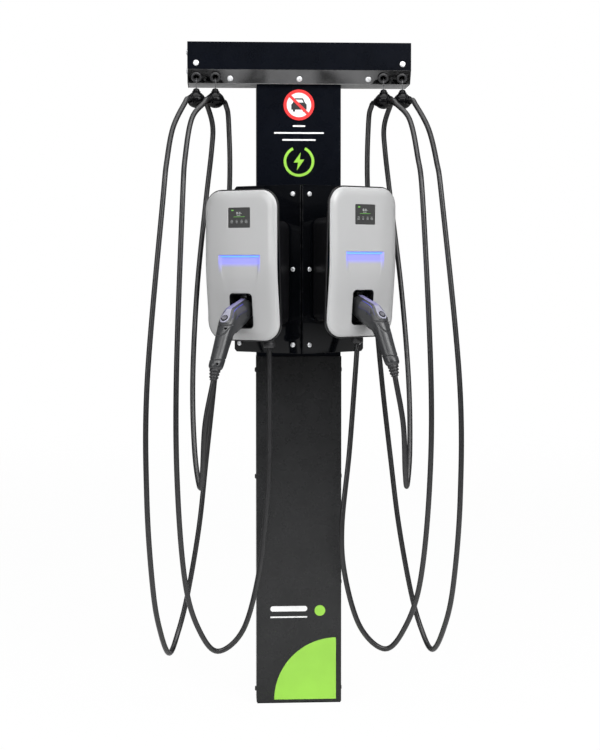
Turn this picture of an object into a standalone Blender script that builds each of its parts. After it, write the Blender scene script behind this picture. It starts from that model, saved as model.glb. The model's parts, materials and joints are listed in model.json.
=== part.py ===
"""A double EV charging post: a sheet-metal column with a head box of cable retractors, a V-shaped
bracket, two wall chargers and two long charging cables. Metres, +Z up, the front faces -Y. The
origin is the middle of the base on the ground. Y dimensions run from the column's front face, which
POST_FRAME carries forward of the origin."""

import math

import bmesh
import bpy
from mathutils import Matrix, Vector

# ---- driving dimensions ------------------------------------------------------------------------
GAP = 0.0003
SHEET = 0.002
SIDES = {"left": -1, "right": 1}

POST_HEIGHT = 2.2
POST_WIDTH = 0.279
POST_DEPTH = 0.12
ACCESS_COVER_TOP = 1.163
ACCESS_COVER_WRAP = 0.075
ACCESS_COVER_FOOT = 0.004
WINDOW_BORDER = 0.02
BASE_THICKNESS = 0.01
ANCHOR_X = 0.1
ANCHOR_INSET = 0.03
ANCHOR_HOLE_RADIUS = 0.007
CABLE_ENTRY_X = 0.045
CABLE_ENTRY_RADIUS = 0.02
PAN_HEAD_RADIUS = 0.008
LARGE_HEAD_RADIUS = 0.0096
PAN_HEAD_HEIGHT = 0.0045
SHANK_RADIUS = 0.003
SCREW_HOLE_RADIUS = 0.0036
LONG_SHANK = 0.007
SHORT_SHANK = 0.004
WING_SHANK = 0.006
RAIL_SHANK = 0.0065
NUT_MARGIN = 0.01
POST_NUT_THICKNESS = 0.005
HEAD_NUT_THICKNESS = 0.002
CUT_REACH = 0.01

POST_SCREW_Y = 0.04
POST_SCREW_FIRST = 0.04
POST_SCREW_PITCH = 0.359

HEAD_WIDTH = 0.737
HEAD_FRONT = -0.044
HEAD_BACK = 0.12
HEAD_PANEL_FOOT = 2.11
HEAD_FLOOR = 2.067
SLOPE_FOOT_Y = -0.018
FRONT_SCREW_X = 0.34
FRONT_SCREW_Z = 2.13
SLOPE_SCREW_X = 0.228
SLOPE_SCREW_Z = 2.082
END_SCREWS = ((0.03, 2.112), (0.03, 2.174))
SERVICE_ENTRY = ((-0.08, 0.03), (0.08, 0.09))

REEL_X = {"inner": 0.277, "outer": 0.339}
DRUM_AXIS_Y = 0.02
DRUM_AXIS_Z = 2.135
DRUM_RADIUS = 0.04
GROOVE_RADIUS = 0.034
DRUM_WIDTH = 0.036
SPRING_PACK_X = (0.2975, 0.3115)
SPRING_PACK_WIDTH = 0.007
SPRING_PACK_RADIUS = 0.024
ARBOR_RADIUS = 0.006
PORT_Y = -0.03
PORT_BORE = 0.009
PORT_HOLE = 0.014
WIRE_RADIUS = 0.001
CHEEK_X = (0.252, 0.308, 0.362)
CHEEK_TOP = 2.155
RAIL_HALF_LENGTH = 0.245

CLAMP_Y = -0.048
CLAMP_Z = 2.008
CLAMP_RADIUS = 0.03
CLAMP_HALF_HEIGHT = 0.026
CLAMP_COLLAR_REACH = 0.037
CLAMP_COLLAR_RADIUS = 0.0135
KNOB_TOP = 0.0385
CLAMP_TURN = math.radians(55)
CABLE_RADIUS = 0.0085
CABLE_BORE = CABLE_RADIUS + GAP

V_ANGLE = math.radians(34.5)
V_APEX_Y = -0.152
WING_LENGTH = 0.26
WING_BOTTOM = 1.181
WING_TOP = 1.728
WING_SHEET = 0.003
BRACKET_SEAM = 0.0006
BRACKET_FOOT_WIDTH = 0.075
WING_CHAMFER = 0.012
WING_SCREW_U = 0.032
OUTER_SCREW_U = 0.24
WING_SCREW_Z = (1.209, 1.454, 1.698)

CHARGER_U = 0.1387
CHARGER_Z = {"left": 1.467, "right": 1.478}
CHARGER_DEPTH = 0.155
COVER_WIDTH = 0.272
COVER_HEIGHT = 0.478
COVER_CORNER = 0.058
COVER_EDGE = 0.013
RIM_WIDTH = 0.28
RIM_HEIGHT = 0.486
BACK_WIDTH = 0.19
BACK_HEIGHT = 0.335
BACK_CENTRE_Z = -0.0245
BACK_WALL = 0.003
COVER_WALL = 0.0025
SCREEN_SIZE = (0.083, 0.064)
SCREEN_Z = 0.152
SCREEN_CORNER = 0.003
LIGHT_BAR_SIZE = (0.159, 0.009)
LIGHT_BAR_Z = 0.0275
LIGHT_BAR_CORNER = 0.002
HOLSTER_SIZE = (0.087, 0.113)
HOLSTER_Z = -0.1455
HOLSTER_DEPTH = 0.062
HOLSTER_CORNER = 0.012
HOLSTER_WALL = 0.003
GLAND_X = 0.05
GLAND_Y = -0.055
GLAND_FOOT_Z = -0.266
GLAND_HOLE_RADIUS = 0.0133

NOSE_SLOPE = math.radians(27.3)
BUTTON_TILT = math.radians(48)
BUTTON_N = 0.082
BUTTON_Z = -0.165
BUTTON_RADIUS = 0.0085
BUTTON_DEPTH = 0.0095
BUTTON_PROUD = 0.0035
TRIM_HALF_WIDTH = 0.014
NOSE_END = (-0.040, -0.1356)
NOSE_SOCKET_RADIUS = 0.021
BOOT_START = (0.1345, -0.3235)
BOOT_END = (0.1445, -0.358)


# ---- scene helpers -----------------------------------------------------------------------------
def clear_scene():
    for obj in list(bpy.data.objects):
        bpy.data.objects.remove(obj, do_unlink=True)


def new_collection(name):
    made = bpy.data.collections.new(name)
    bpy.context.scene.collection.children.link(made)
    return made


clear_scene()
PARTS = new_collection("ev_charging_post")
CUTTERS = new_collection("cutters")
POST_FRAME = bpy.data.objects.new("post_frame", None)
PARTS.objects.link(POST_FRAME)
POST_FRAME.location.y = -POST_DEPTH / 2


def material(name, colour, roughness, metallic=0.0):
    made = bpy.data.materials.new(name)
    made.use_nodes = True
    shader = made.node_tree.nodes["Principled BSDF"]
    shader.inputs["Base Color"].default_value = (*colour, 1)
    shader.inputs["Roughness"].default_value = roughness
    shader.inputs["Metallic"].default_value = metallic
    return made


def finish(obj, colour, roughness, metallic=0.0, parent=POST_FRAME):
    """Put a finished sub-part in the parts collection with its own material, under its parent."""
    obj.data.materials.clear()
    obj.data.materials.append(material(obj.name, colour, roughness, metallic))
    obj.data.shade_smooth()
    obj.data.set_sharp_from_angle(angle=math.radians(35))
    for home in list(obj.users_collection):
        home.objects.unlink(obj)
    PARTS.objects.link(obj)
    obj.parent = parent
    for step in obj.modifiers:
        if step.type == "BOOLEAN":
            step.object.parent = parent
    return obj


def as_tool(obj):
    """Keep a cutter or a joined shape out of the model."""
    for home in list(obj.users_collection):
        home.objects.unlink(obj)
    CUTTERS.objects.link(obj)
    obj.hide_render = True
    obj.display_type = "WIRE"
    return obj


def boolean(obj, tool, operation):
    step = obj.modifiers.new(f"{operation.lower()} {tool.name}", "BOOLEAN")
    step.operation = operation
    step.solver = "EXACT"
    step.object = tool
    as_tool(tool)
    return obj


def subtract(obj, tool):
    return boolean(obj, tool, "DIFFERENCE")


def unite(obj, tool):
    return boolean(obj, tool, "UNION")


def object_from(name, bm):
    mesh = bpy.data.meshes.new(name)
    bm.to_mesh(mesh)
    bm.free()
    obj = bpy.data.objects.new(name, mesh)
    CUTTERS.objects.link(obj)
    return obj


def baked(obj, place=Matrix()):
    """The evaluated shape of an object as a plain mesh object, moved by a matrix."""
    name = obj.name
    bpy.context.view_layer.update()
    evaluated = obj.evaluated_get(bpy.context.evaluated_depsgraph_get())
    mesh = bpy.data.meshes.new_from_object(evaluated)
    bpy.data.objects.remove(obj, do_unlink=True)
    bm = bmesh.new()
    bm.from_mesh(mesh)
    bmesh.ops.remove_doubles(bm, verts=bm.verts, dist=0.00001)
    bmesh.ops.transform(bm, matrix=place, verts=bm.verts)
    if place.determinant() < 0:
        bmesh.ops.reverse_faces(bm, faces=bm.faces)
    bpy.data.meshes.remove(mesh)
    return object_from(name, bm)


# ---- shapes ------------------------------------------------------------------------------------
def boxes(name, *corner_pairs):
    """One object of separate boxes, each from its lowest and highest corner."""
    bm = bmesh.new()
    for low, high in corner_pairs:
        size = Vector(high) - Vector(low)
        middle = (Vector(high) + Vector(low)) / 2
        place = Matrix.Translation(middle) @ Matrix.Diagonal((*size, 1))
        bmesh.ops.create_cube(bm, size=1, matrix=place)
    return object_from(name, bm)


def along(start, end):
    """The matrix that stands local +Z on the line from start to end, centred between them."""
    start, end = Vector(start), Vector(end)
    turn = (end - start).to_track_quat("Z", "Y").to_matrix().to_4x4()
    return Matrix.Translation((start + end) / 2) @ turn


def rods(name, *rods_wanted, segments=12):
    """One object of separate cylinders, each as (start, end, radius)."""
    bm = bmesh.new()
    for start, end, radius in rods_wanted:
        bmesh.ops.create_cone(
            bm, cap_ends=True, segments=segments, radius1=radius, radius2=radius,
            depth=(Vector(end) - Vector(start)).length, matrix=along(start, end))
    return object_from(name, bm)


def flat_plate(name, outline, thickness, place):
    """A closed 2D outline as a plate, centred on its own XY plane, then moved by place."""
    curve = bpy.data.curves.new(name, "CURVE")
    curve.dimensions = "2D"
    curve.fill_mode = "BOTH"
    curve.extrude = thickness / 2
    spline = curve.splines.new("POLY")
    spline.points.add(len(outline) - 1)
    for point, (x, y) in zip(spline.points, outline):
        point.co = (x, y, 0, 1)
    spline.use_cyclic_u = True
    obj = bpy.data.objects.new(name, curve)
    CUTTERS.objects.link(obj)
    plate = baked(obj, place)
    bm = bmesh.new()
    bm.from_mesh(plate.data)
    bmesh.ops.recalc_face_normals(bm, faces=bm.faces)
    bm.to_mesh(plate.data)
    bm.free()
    return plate


def across(name, outline, x_low, x_high):
    """An outline in (y, z) drawn out along X."""
    turn = Matrix(((0, 0, 1, (x_low + x_high) / 2), (1, 0, 0, 0), (0, 1, 0, 0), (0, 0, 0, 1)))
    return flat_plate(name, outline, x_high - x_low, turn)


def upright(name, outline, z_low, z_high):
    """An outline in (x, y) drawn out along Z."""
    return flat_plate(name, outline, z_high - z_low, Matrix.Translation((0, 0, (z_low + z_high) / 2)))


def turned(name, profile, place=Matrix(), steps=20, closed=False):
    """A (radius, z) profile, top to bottom on its outer side, turned about Z."""
    mesh = bpy.data.meshes.new(name)
    count = len(profile)
    edges = [(i, (i + 1) % count) for i in range(count if closed else count - 1)]
    mesh.from_pydata([(r, 0, z) for r, z in profile], edges, [])
    obj = bpy.data.objects.new(name, mesh)
    CUTTERS.objects.link(obj)
    screw = obj.modifiers.new("Turn", "SCREW")
    screw.steps = screw.render_steps = steps
    screw.use_merge_vertices = True
    screw.merge_threshold = 0.00001
    return baked(obj, place)


def tube(name, points, radius, resolution=2):
    curve = bpy.data.curves.new(name, "CURVE")
    curve.dimensions = "3D"
    curve.bevel_depth = radius
    curve.bevel_resolution = resolution
    curve.use_fill_caps = True
    spline = curve.splines.new("POLY")
    spline.points.add(len(points) - 1)
    for point, place in zip(spline.points, points):
        point.co = (*place, 1)
    obj = bpy.data.objects.new(name, curve)
    CUTTERS.objects.link(obj)
    return baked(obj)


def rounded_rectangle(width, height, radius, arc_steps=3):
    """Points of a rounded rectangle about the origin, anticlockwise from the lower right corner."""
    points = []
    corners = ((1, -1, -90), (1, 1, 0), (-1, 1, 90), (-1, -1, 180))
    for sx, sz, first in corners:
        cx, cz = sx * (width / 2 - radius), sz * (height / 2 - radius)
        for i in range(arc_steps + 1):
            angle = math.radians(first + 90 * i / arc_steps)
            points.append((cx + radius * math.cos(angle), cz + radius * math.sin(angle)))
    return points


def lofted(name, rings, cap_first=True, cap_last=True):
    """A skin through rings that hold the same number of points."""
    bm = bmesh.new()
    made = [[bm.verts.new(point) for point in ring] for ring in rings]
    for one, two in zip(made, made[1:]):
        for i in range(len(one)):
            j = (i + 1) % len(one)
            bm.faces.new((one[i], one[j], two[j], two[i]))
    if cap_first:
        bm.faces.new(made[0][::-1])
    if cap_last:
        bm.faces.new(made[-1])
    bmesh.ops.recalc_face_normals(bm, faces=bm.faces)
    return object_from(name, bm)


def pan_screw(name, seat, outward, length, radius=PAN_HEAD_RADIUS):
    """A pan-head screw whose head sits on seat and whose shank runs back from it."""
    height = PAN_HEAD_HEIGHT
    head = ((0, height), (0.65 * radius, 0.88 * height), (radius, 0.25 * height), (radius, 0),
            (SHANK_RADIUS, 0), (SHANK_RADIUS, -length), (0, -length))
    turn = Vector(outward).to_track_quat("Z", "Y").to_matrix().to_4x4()
    return turned(name, head, Matrix.Translation(seat) @ turn, steps=6)


def screws_on_strip(name, strip, screws, radius=PAN_HEAD_RADIUS):
    """Screws and the nut strip that they are tightened into, as one solid."""
    for number, (seat, outward, length) in enumerate(screws):
        unite(strip, pan_screw(f"{name}_{number}", seat, outward, length, radius))
    strip.name = name
    return finish(strip, (0.72, 0.73, 0.75), 0.25, 1.0)


# ---- column ------------------------------------------------------------------------------------
def post_screw_heights():
    return [POST_SCREW_FIRST + i * POST_SCREW_PITCH for i in range(4)]


def base_plate():
    half = POST_WIDTH / 2 - SHEET - GAP
    near, far = SHEET + GAP, POST_DEPTH - SHEET - GAP
    plate = boxes("base_plate", ((-half, near, 0), (half, far, BASE_THICKNESS)))
    below, above = -BASE_THICKNESS, 2 * BASE_THICKNESS
    holes = [((x, y, below), (x, y, above), ANCHOR_HOLE_RADIUS)
             for x in (-ANCHOR_X, ANCHOR_X) for y in (ANCHOR_INSET, POST_DEPTH - ANCHOR_INSET)]
    middle = POST_DEPTH / 2
    holes += [((s * CABLE_ENTRY_X, middle, below), (s * CABLE_ENTRY_X, middle, above), CABLE_ENTRY_RADIUS)
              for s in SIDES.values()]
    subtract(plate, rods("base_holes", *holes))
    finish(plate, (0.45, 0.46, 0.47), 0.45, 0.9)


def side_clearances(name):
    outer = POST_WIDTH / 2 + CUT_REACH
    inner = POST_WIDTH / 2 - CUT_REACH
    return rods(name, *[((s * inner, POST_SCREW_Y, z), (s * outer, POST_SCREW_Y, z), SCREW_HOLE_RADIUS)
                        for s in SIDES.values() for z in post_screw_heights()], segments=10)


def post_column():
    half = POST_WIDTH / 2
    top = HEAD_FLOOR - GAP
    column = boxes("post_column", ((-half, 0, 0), (half, POST_DEPTH, top)))
    subtract(column, boxes("column_core", (
        (-half + SHEET, SHEET, -CUT_REACH), (half - SHEET, POST_DEPTH - SHEET, top + CUT_REACH))))
    border = WINDOW_BORDER
    subtract(column, boxes("column_window", (
        (-half + border, -CUT_REACH, border), (half - border, CUT_REACH, ACCESS_COVER_TOP - border))))
    subtract(column, side_clearances("column_screw_holes"))
    finish(column, (0.012, 0.013, 0.016), 0.35)


def post_front_cover():
    inside = POST_WIDTH / 2 + GAP
    outside = inside + SHEET
    front = -GAP - SHEET
    wrap = ACCESS_COVER_WRAP
    outline = ((-outside, front), (outside, front), (outside, wrap), (inside, wrap),
               (inside, -GAP), (-inside, -GAP), (-inside, wrap), (-outside, wrap))
    cover = upright("post_front_cover", outline, ACCESS_COVER_FOOT, ACCESS_COVER_TOP)
    subtract(cover, side_clearances("cover_screw_holes"))
    finish(cover, (0.04, 0.041, 0.043), 0.4)


def post_screws(name, side):
    wall = POST_WIDTH / 2 - SHEET - GAP
    xs = sorted((side * (wall - POST_NUT_THICKNESS), side * wall))
    low, high = post_screw_heights()[0] - 2 * NUT_MARGIN, post_screw_heights()[-1] + 2 * NUT_MARGIN
    strip = boxes("strip", (
        (xs[0], POST_SCREW_Y - NUT_MARGIN, low), (xs[1], POST_SCREW_Y + NUT_MARGIN, high)))
    seat_x = side * (POST_WIDTH / 2 + SHEET + 2 * GAP)
    screws = [((seat_x, POST_SCREW_Y, z), (side, 0, 0), LONG_SHANK) for z in post_screw_heights()]
    screws_on_strip(f"{name}_post_screws", strip, screws)


# ---- head box ----------------------------------------------------------------------------------
SLOPE = Vector((0, SLOPE_FOOT_Y - HEAD_FRONT, HEAD_FLOOR - HEAD_PANEL_FOOT)).normalized()
SLOPE_NORMAL = Vector((0, SLOPE.z, -SLOPE.y))


def on_slope(x, z, outward=0.0):
    """A point of the sloping face at a height, moved out along the face's normal."""
    share = (HEAD_PANEL_FOOT - z) / (HEAD_PANEL_FOOT - HEAD_FLOOR)
    y = HEAD_FRONT + share * (SLOPE_FOOT_Y - HEAD_FRONT)
    return Vector((x, y, z)) + SLOPE_NORMAL * outward


def slope_z(y):
    share = (y - HEAD_FRONT) / (SLOPE_FOOT_Y - HEAD_FRONT)
    return HEAD_PANEL_FOOT - share * (HEAD_PANEL_FOOT - HEAD_FLOOR)


def slope_inside_z(y):
    """Height of the inner skin of the sloping sheet at a depth."""
    inward = -SLOPE_NORMAL
    return HEAD_PANEL_FOOT + (SHEET - (y - HEAD_FRONT) * inward.y) / inward.z


PORT_Z = slope_z(PORT_Y)


def front_screw_holes():
    near, far = HEAD_FRONT - CUT_REACH, HEAD_FRONT + CUT_REACH
    return [((s * FRONT_SCREW_X, near, FRONT_SCREW_Z), (s * FRONT_SCREW_X, far, FRONT_SCREW_Z),
             SCREW_HOLE_RADIUS) for s in SIDES.values()]


def service_entry(name, above):
    """The cutter of the opening that the supply cables take from the column into the head box."""
    low, high = SERVICE_ENTRY
    return boxes(name, ((*low, HEAD_FLOOR - CUT_REACH), (*high, HEAD_FLOOR + above)))


def head_chassis():
    back = HEAD_BACK - SHEET - GAP
    lip = HEAD_FRONT + SHEET + GAP
    top = POST_HEIGHT - SHEET - GAP
    lip_top = FRONT_SCREW_Z + 0.012
    outline = ((HEAD_FRONT + GAP, HEAD_PANEL_FOOT - 2 * GAP), (SLOPE_FOOT_Y, HEAD_FLOOR),
               (back, HEAD_FLOOR), (back, top), (back - SHEET, top), (back - SHEET, HEAD_FLOOR + SHEET),
               (SLOPE_FOOT_Y + SHEET / 2, HEAD_FLOOR + SHEET), (lip + SHEET, slope_inside_z(lip + SHEET)),
               (lip + SHEET, lip_top), (lip, lip_top), (lip, HEAD_PANEL_FOOT - GAP))
    half = HEAD_WIDTH / 2 - SHEET - GAP
    chassis = across("head_chassis", outline, -half, half)
    reach = 2 * CUT_REACH
    holes = [(on_slope(s * x, PORT_Z, -reach), on_slope(s * x, PORT_Z, reach), PORT_HOLE)
             for s in SIDES.values() for x in REEL_X.values()]
    reach, z = CUT_REACH, SLOPE_SCREW_Z
    holes += [(on_slope(x, z, -reach), on_slope(x, z, reach), SCREW_HOLE_RADIUS)
              for x in (-SLOPE_SCREW_X, 0, SLOPE_SCREW_X)]
    subtract(chassis, rods("chassis_holes", *holes, *front_screw_holes()))
    subtract(chassis, service_entry("chassis_entry", CUT_REACH))
    finish(chassis, (0.06, 0.062, 0.066), 0.22, 0.3)



def head_cover():
    back_lip = HEAD_BACK - SHEET
    lip_foot = POST_HEIGHT - 0.04
    outline = ((HEAD_FRONT, HEAD_PANEL_FOOT), (HEAD_FRONT, POST_HEIGHT), (HEAD_BACK, POST_HEIGHT),
               (HEAD_BACK, lip_foot), (back_lip, lip_foot),
               (back_lip, POST_HEIGHT - SHEET), (HEAD_FRONT + SHEET, POST_HEIGHT - SHEET),
               (HEAD_FRONT + SHEET, HEAD_PANEL_FOOT))
    end = ((HEAD_FRONT, HEAD_PANEL_FOOT), (SLOPE_FOOT_Y, HEAD_FLOOR), (HEAD_BACK, HEAD_FLOOR),
           (HEAD_BACK, POST_HEIGHT), (HEAD_FRONT, POST_HEIGHT))
    half = HEAD_WIDTH / 2
    cover = across("head_cover", outline, -half, half)
    unite(cover, across("left_end", end, -half, -half + SHEET))
    unite(cover, across("right_end", end, half - SHEET, half))
    ends = [((s * (half - CUT_REACH), y, z), (s * (half + CUT_REACH), y, z), SCREW_HOLE_RADIUS)
            for s in SIDES.values() for y, z in END_SCREWS]
    subtract(cover, rods("head_cover_holes", *front_screw_holes(), *ends, segments=10))
    finish(cover, (0.012, 0.013, 0.016), 0.35)


def head_screws(name, side):
    """The front screw and the two end screws of one side, on an angled nut strip."""
    half = HEAD_WIDTH / 2
    wall = half - SHEET - GAP
    front = HEAD_FRONT + 2 * SHEET + 2 * GAP
    x_end = sorted((side * (wall - HEAD_NUT_THICKNESS), side * wall))
    x_front = sorted((side * (FRONT_SCREW_X - 0.008), side * wall))
    (end_y, low_z), (_, high_z) = END_SCREWS
    near, far = end_y - NUT_MARGIN, end_y + NUT_MARGIN
    foot, head = FRONT_SCREW_Z - 0.011, FRONT_SCREW_Z + 0.011
    strip = boxes("strip", ((x_end[0], front, foot), (x_end[1], far, foot + 0.005)))
    unite(strip, boxes("strip_end", (
        (x_end[0], near, low_z - 0.008), (x_end[1], far, high_z + NUT_MARGIN))))
    unite(strip, boxes("strip_front", ((x_front[0], front, foot), (x_front[1], front + 0.003, head))))
    screws = [((side * FRONT_SCREW_X, HEAD_FRONT - GAP, FRONT_SCREW_Z), (0, -1, 0), LONG_SHANK)]
    screws += [((side * (half + GAP), y, z), (side, 0, 0), SHORT_SHANK) for y, z in END_SCREWS]
    screws_on_strip(f"{name}_head_screws", strip, screws, LARGE_HEAD_RADIUS)


# ---- cable retractors --------------------------------------------------------------------------
def retractor_rail():
    floor = HEAD_FLOOR + SHEET + GAP
    roof = floor + SHEET
    inner = SHEET + 2 * GAP
    lip_z, back = 2.098, 0.1
    outline = (on_slope(0, lip_z, -inner).yz, on_slope(0, lip_z, -inner - SHEET).yz,
               (SLOPE_FOOT_Y + 0.006, roof), (back, roof), (back, floor), (SLOPE_FOOT_Y + 0.004, floor))
    rail = across("retractor_rail", outline, -RAIL_HALF_LENGTH, RAIL_HALF_LENGTH)
    subtract(rail, service_entry("rail_entry", 2 * CUT_REACH))
    inset = SHEET / 10
    ends = [sorted((s * (RAIL_HALF_LENGTH - 0.0055), s * (CHEEK_X[-1] + 0.0025))) for s in SIDES.values()]
    trays = [((low, 0.001, floor + inset), (high, back - 0.001, roof - inset)) for low, high in ends]
    unite(rail, boxes("rail_trays", *trays))
    cheeks = [((s * x - SHEET, 0.002, floor + SHEET / 2), (s * x + SHEET, 0.045, CHEEK_TOP))
              for s in SIDES.values() for x in CHEEK_X]
    unite(rail, boxes("rail_cheeks", *cheeks))
    axis = (DRUM_AXIS_Y, DRUM_AXIS_Z)
    bores = [((s * x - 2 * SHEET, *axis), (s * x + 2 * SHEET, *axis), ARBOR_RADIUS + GAP)
             for s in SIDES.values() for x in CHEEK_X]
    subtract(rail, rods("rail_bores", *bores, segments=16))
    for number, x in enumerate((-SLOPE_SCREW_X, 0, SLOPE_SCREW_X)):
        seat = on_slope(x, SLOPE_SCREW_Z, GAP)
        unite(rail, pan_screw(f"slope_screw_{number}", seat, SLOPE_NORMAL, RAIL_SHANK, LARGE_HEAD_RADIUS))
    finish(rail, (0.6, 0.61, 0.63), 0.4, 0.9)


def spring_arbor(name, side):
    """The fixed shaft that both drums of a side turn on, with their two spiral spring packs."""
    axis = (DRUM_AXIS_Y, DRUM_AXIS_Z)
    start, end = CHEEK_X[0] - 0.0045, CHEEK_X[-1] + 0.0018
    arbor = rods(f"{name}_spring_arbor", ((side * start, *axis), (side * end, *axis), ARBOR_RADIUS))
    packs = [((side * low, *axis), (side * (low + SPRING_PACK_WIDTH), *axis), SPRING_PACK_RADIUS)
             for low in SPRING_PACK_X]
    unite(arbor, rods(f"{name}_spring_packs", *packs, segments=20))
    finish(arbor, (0.35, 0.36, 0.38), 0.35, 1.0)


def drum(name, x):
    half = DRUM_WIDTH / 2
    bore = ARBOR_RADIUS + GAP
    profile = ((DRUM_RADIUS, half), (DRUM_RADIUS, half - 0.003), (GROOVE_RADIUS, half - 0.005),
               (GROOVE_RADIUS, 0.005 - half), (DRUM_RADIUS, 0.003 - half), (DRUM_RADIUS, -half),
               (bore, -half), (bore, half))
    lying = Matrix.Rotation(math.pi / 2, 4, "Y")
    made = turned(f"{name}_drum", profile, lying, steps=18, closed=True)
    made.location = (x, DRUM_AXIS_Y, DRUM_AXIS_Z)
    finish(made, (0.7, 0.7, 0.68), 0.5)


def port_ring(name, x):
    """The rounded grommet in the sloping face, held by a nut inside."""
    inside = -SHEET - GAP
    nut, neck, bead = 0.0165, 0.013, 0.018
    profile = ((PORT_BORE + 0.004, 0.0095), (bead - 0.001, 0.0065), (bead, GAP), (neck, GAP),
               (neck, inside), (nut, inside), (nut, inside - 0.005), (PORT_BORE, inside - 0.005),
               (PORT_BORE, 0.0065))
    turn = SLOPE_NORMAL.to_track_quat("Z", "Y").to_matrix().to_4x4()
    place = Matrix.Translation(on_slope(x, PORT_Z)) @ turn
    finish(turned(f"{name}_port_ring", profile, place, steps=16, closed=True), (0.05, 0.05, 0.052), 0.6)


def wire(name, x):
    """The thin rope from the drum, over the lip of the port ring, to the clamp."""
    tangent = DRUM_AXIS_Y - GROOVE_RADIUS - WIRE_RADIUS - GAP
    lip = on_slope(x, PORT_Z, 0.0125)
    points = ((x, tangent, DRUM_AXIS_Z), (x, -0.0245, 2.0935), on_slope(x, PORT_Z, 0.006),
              lip + Vector((0, -0.001, 0)), (x, CLAMP_Y, lip.z - 0.009),
              (x, CLAMP_Y, CLAMP_Z + KNOB_TOP + GAP))
    finish(tube(f"{name}_wire", points, WIRE_RADIUS, 1), (0.35, 0.36, 0.37), 0.35, 0.9)


def clamp_half(name, x, side, upper):
    """Half of the ball clamp: a ball with a shouldered knob and a collar at each cable mouth."""
    ball = []
    for angle in map(math.radians, range(50, 180, 20)):
        ball.append((CLAMP_RADIUS * math.sin(angle), CLAMP_HALF_HEIGHT * math.cos(angle)))
    knob = [(0, KNOB_TOP), (0.0064, 0.0366), (0.0098, 0.0315), (0.0138, 0.0262), (0.0172, 0.0225)]
    profile = [*knob, *ball, (0, -CLAMP_HALF_HEIGHT)]
    body = turned(name, profile, steps=20)
    direction = Vector((math.cos(CLAMP_TURN), side * -math.sin(CLAMP_TURN), 0))
    reach = direction * CLAMP_COLLAR_REACH
    unite(body, rods(f"{name}_collars", (-reach, reach, CLAMP_COLLAR_RADIUS)))
    subtract(body, rods(f"{name}_bore", (-reach * 1.5, reach * 1.5, CABLE_BORE)))
    level, far = (GAP / 2, -0.1) if upper else (-GAP / 2, 0.1)
    low, high = sorted((level, far))
    subtract(body, boxes(f"{name}_split", ((-0.1, -0.1, low), (0.1, 0.1, high))))
    body = baked(body)
    body.name = name
    body.location = (x, CLAMP_Y, CLAMP_Z)
    finish(body, (0.015, 0.015, 0.016), 0.18)


def reel(name, x, side):
    drum(name, x)
    port_ring(name, x)
    wire(name, x)
    clamp_half(f"{name}_clamp_upper", x, side, True)
    clamp_half(f"{name}_clamp_lower", x, side, False)


# ---- V bracket ---------------------------------------------------------------------------------
def wing_point(side, u, depth, z):
    """A point u along a wing from the apex and depth behind its outer face."""
    x = u * math.cos(V_ANGLE) - depth * math.sin(V_ANGLE)
    y = V_APEX_Y + u * math.sin(V_ANGLE) + depth * math.cos(V_ANGLE)
    return Vector((side * x, y, z))


def bracket(name, side):
    """A folded half: the wing, the flange back from the apex and the foot on the column."""
    t = WING_SHEET
    seam_u = BRACKET_SEAM / math.cos(V_ANGLE)
    fold_u = (BRACKET_SEAM + t + t * math.sin(V_ANGLE)) / math.cos(V_ANGLE)
    first, last = wing_point(side, seam_u, 0, 0), wing_point(side, WING_LENGTH, 0, 0)
    inner_last, fold = wing_point(side, WING_LENGTH, t, 0), wing_point(side, fold_u, t, 0)
    foot_x = side * BRACKET_FOOT_WIDTH
    outline = [first.xy, last.xy, inner_last.xy, fold.xy, (fold.x, -GAP - t), (foot_x, -GAP - t),
               (foot_x, -GAP), (side * BRACKET_SEAM, -GAP)]
    plate = upright(f"{name}_bracket", outline, WING_BOTTOM, WING_TOP)
    bm = bmesh.new()
    for z in (WING_BOTTOM, WING_TOP):
        centre = wing_point(side, WING_LENGTH, 0, z)
        turn = Matrix.Rotation(side * V_ANGLE, 4, "Z") @ Matrix.Rotation(math.pi / 4, 4, "Y")
        bmesh.ops.create_cube(bm, size=WING_CHAMFER, matrix=Matrix.Translation(centre) @ turn)
    subtract(plate, object_from(f"{name}_wing_corners", bm))
    subtract(plate, wing_holes(name, side))
    finish(plate, (0.01, 0.011, 0.013), 0.12)


def wing_screw_places(side):
    places = [(WING_SCREW_U, z) for z in WING_SCREW_Z] + [(OUTER_SCREW_U, WING_SCREW_Z[0])]
    return [(wing_point(side, u, -GAP, z), wing_point(side, u, 2 * CUT_REACH, z)) for u, z in places]


def wing_holes(name, side):
    outward = wing_point(side, 0, -CUT_REACH, 0) - wing_point(side, 0, 0, 0)
    holes = [(seat + outward, inside, SCREW_HOLE_RADIUS) for seat, inside in wing_screw_places(side)]
    return rods(f"{name}_wing_holes", *holes, segments=10)


def bracket_screws(name, side):
    """Three screws beside the seam and one at the lower outer corner, in an L-shaped nut plate."""
    near = WING_SHEET + GAP
    low_z, high_z = WING_SCREW_Z[0] - NUT_MARGIN, WING_SCREW_Z[-1] + NUT_MARGIN

    def leg(title, u_low, u_high, depths, z_low, z_high):
        outline = [wing_point(side, u, depths[d], 0).xy for u, d in
                   ((u_low, 0), (u_high, 0), (u_high, 1), (u_low, 1))]
        return upright(title, outline, z_low, z_high)

    strip = leg("strip", WING_SCREW_U - NUT_MARGIN, WING_SCREW_U + NUT_MARGIN, (near, near + WING_SHEET),
                low_z, high_z)
    unite(strip, leg("strip_leg", WING_SCREW_U - NUT_MARGIN / 2, OUTER_SCREW_U + NUT_MARGIN,
                     (near + 0.0005, near + 0.0025), low_z + 0.001, low_z + 0.019))
    outward = (wing_point(side, 0, 0, 0) - wing_point(side, 0, 1, 0)).normalized()
    screws = [(seat, outward, WING_SHANK) for seat, inside in wing_screw_places(side)]
    screws_on_strip(f"{name}_bracket_screws", strip, screws)


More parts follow.
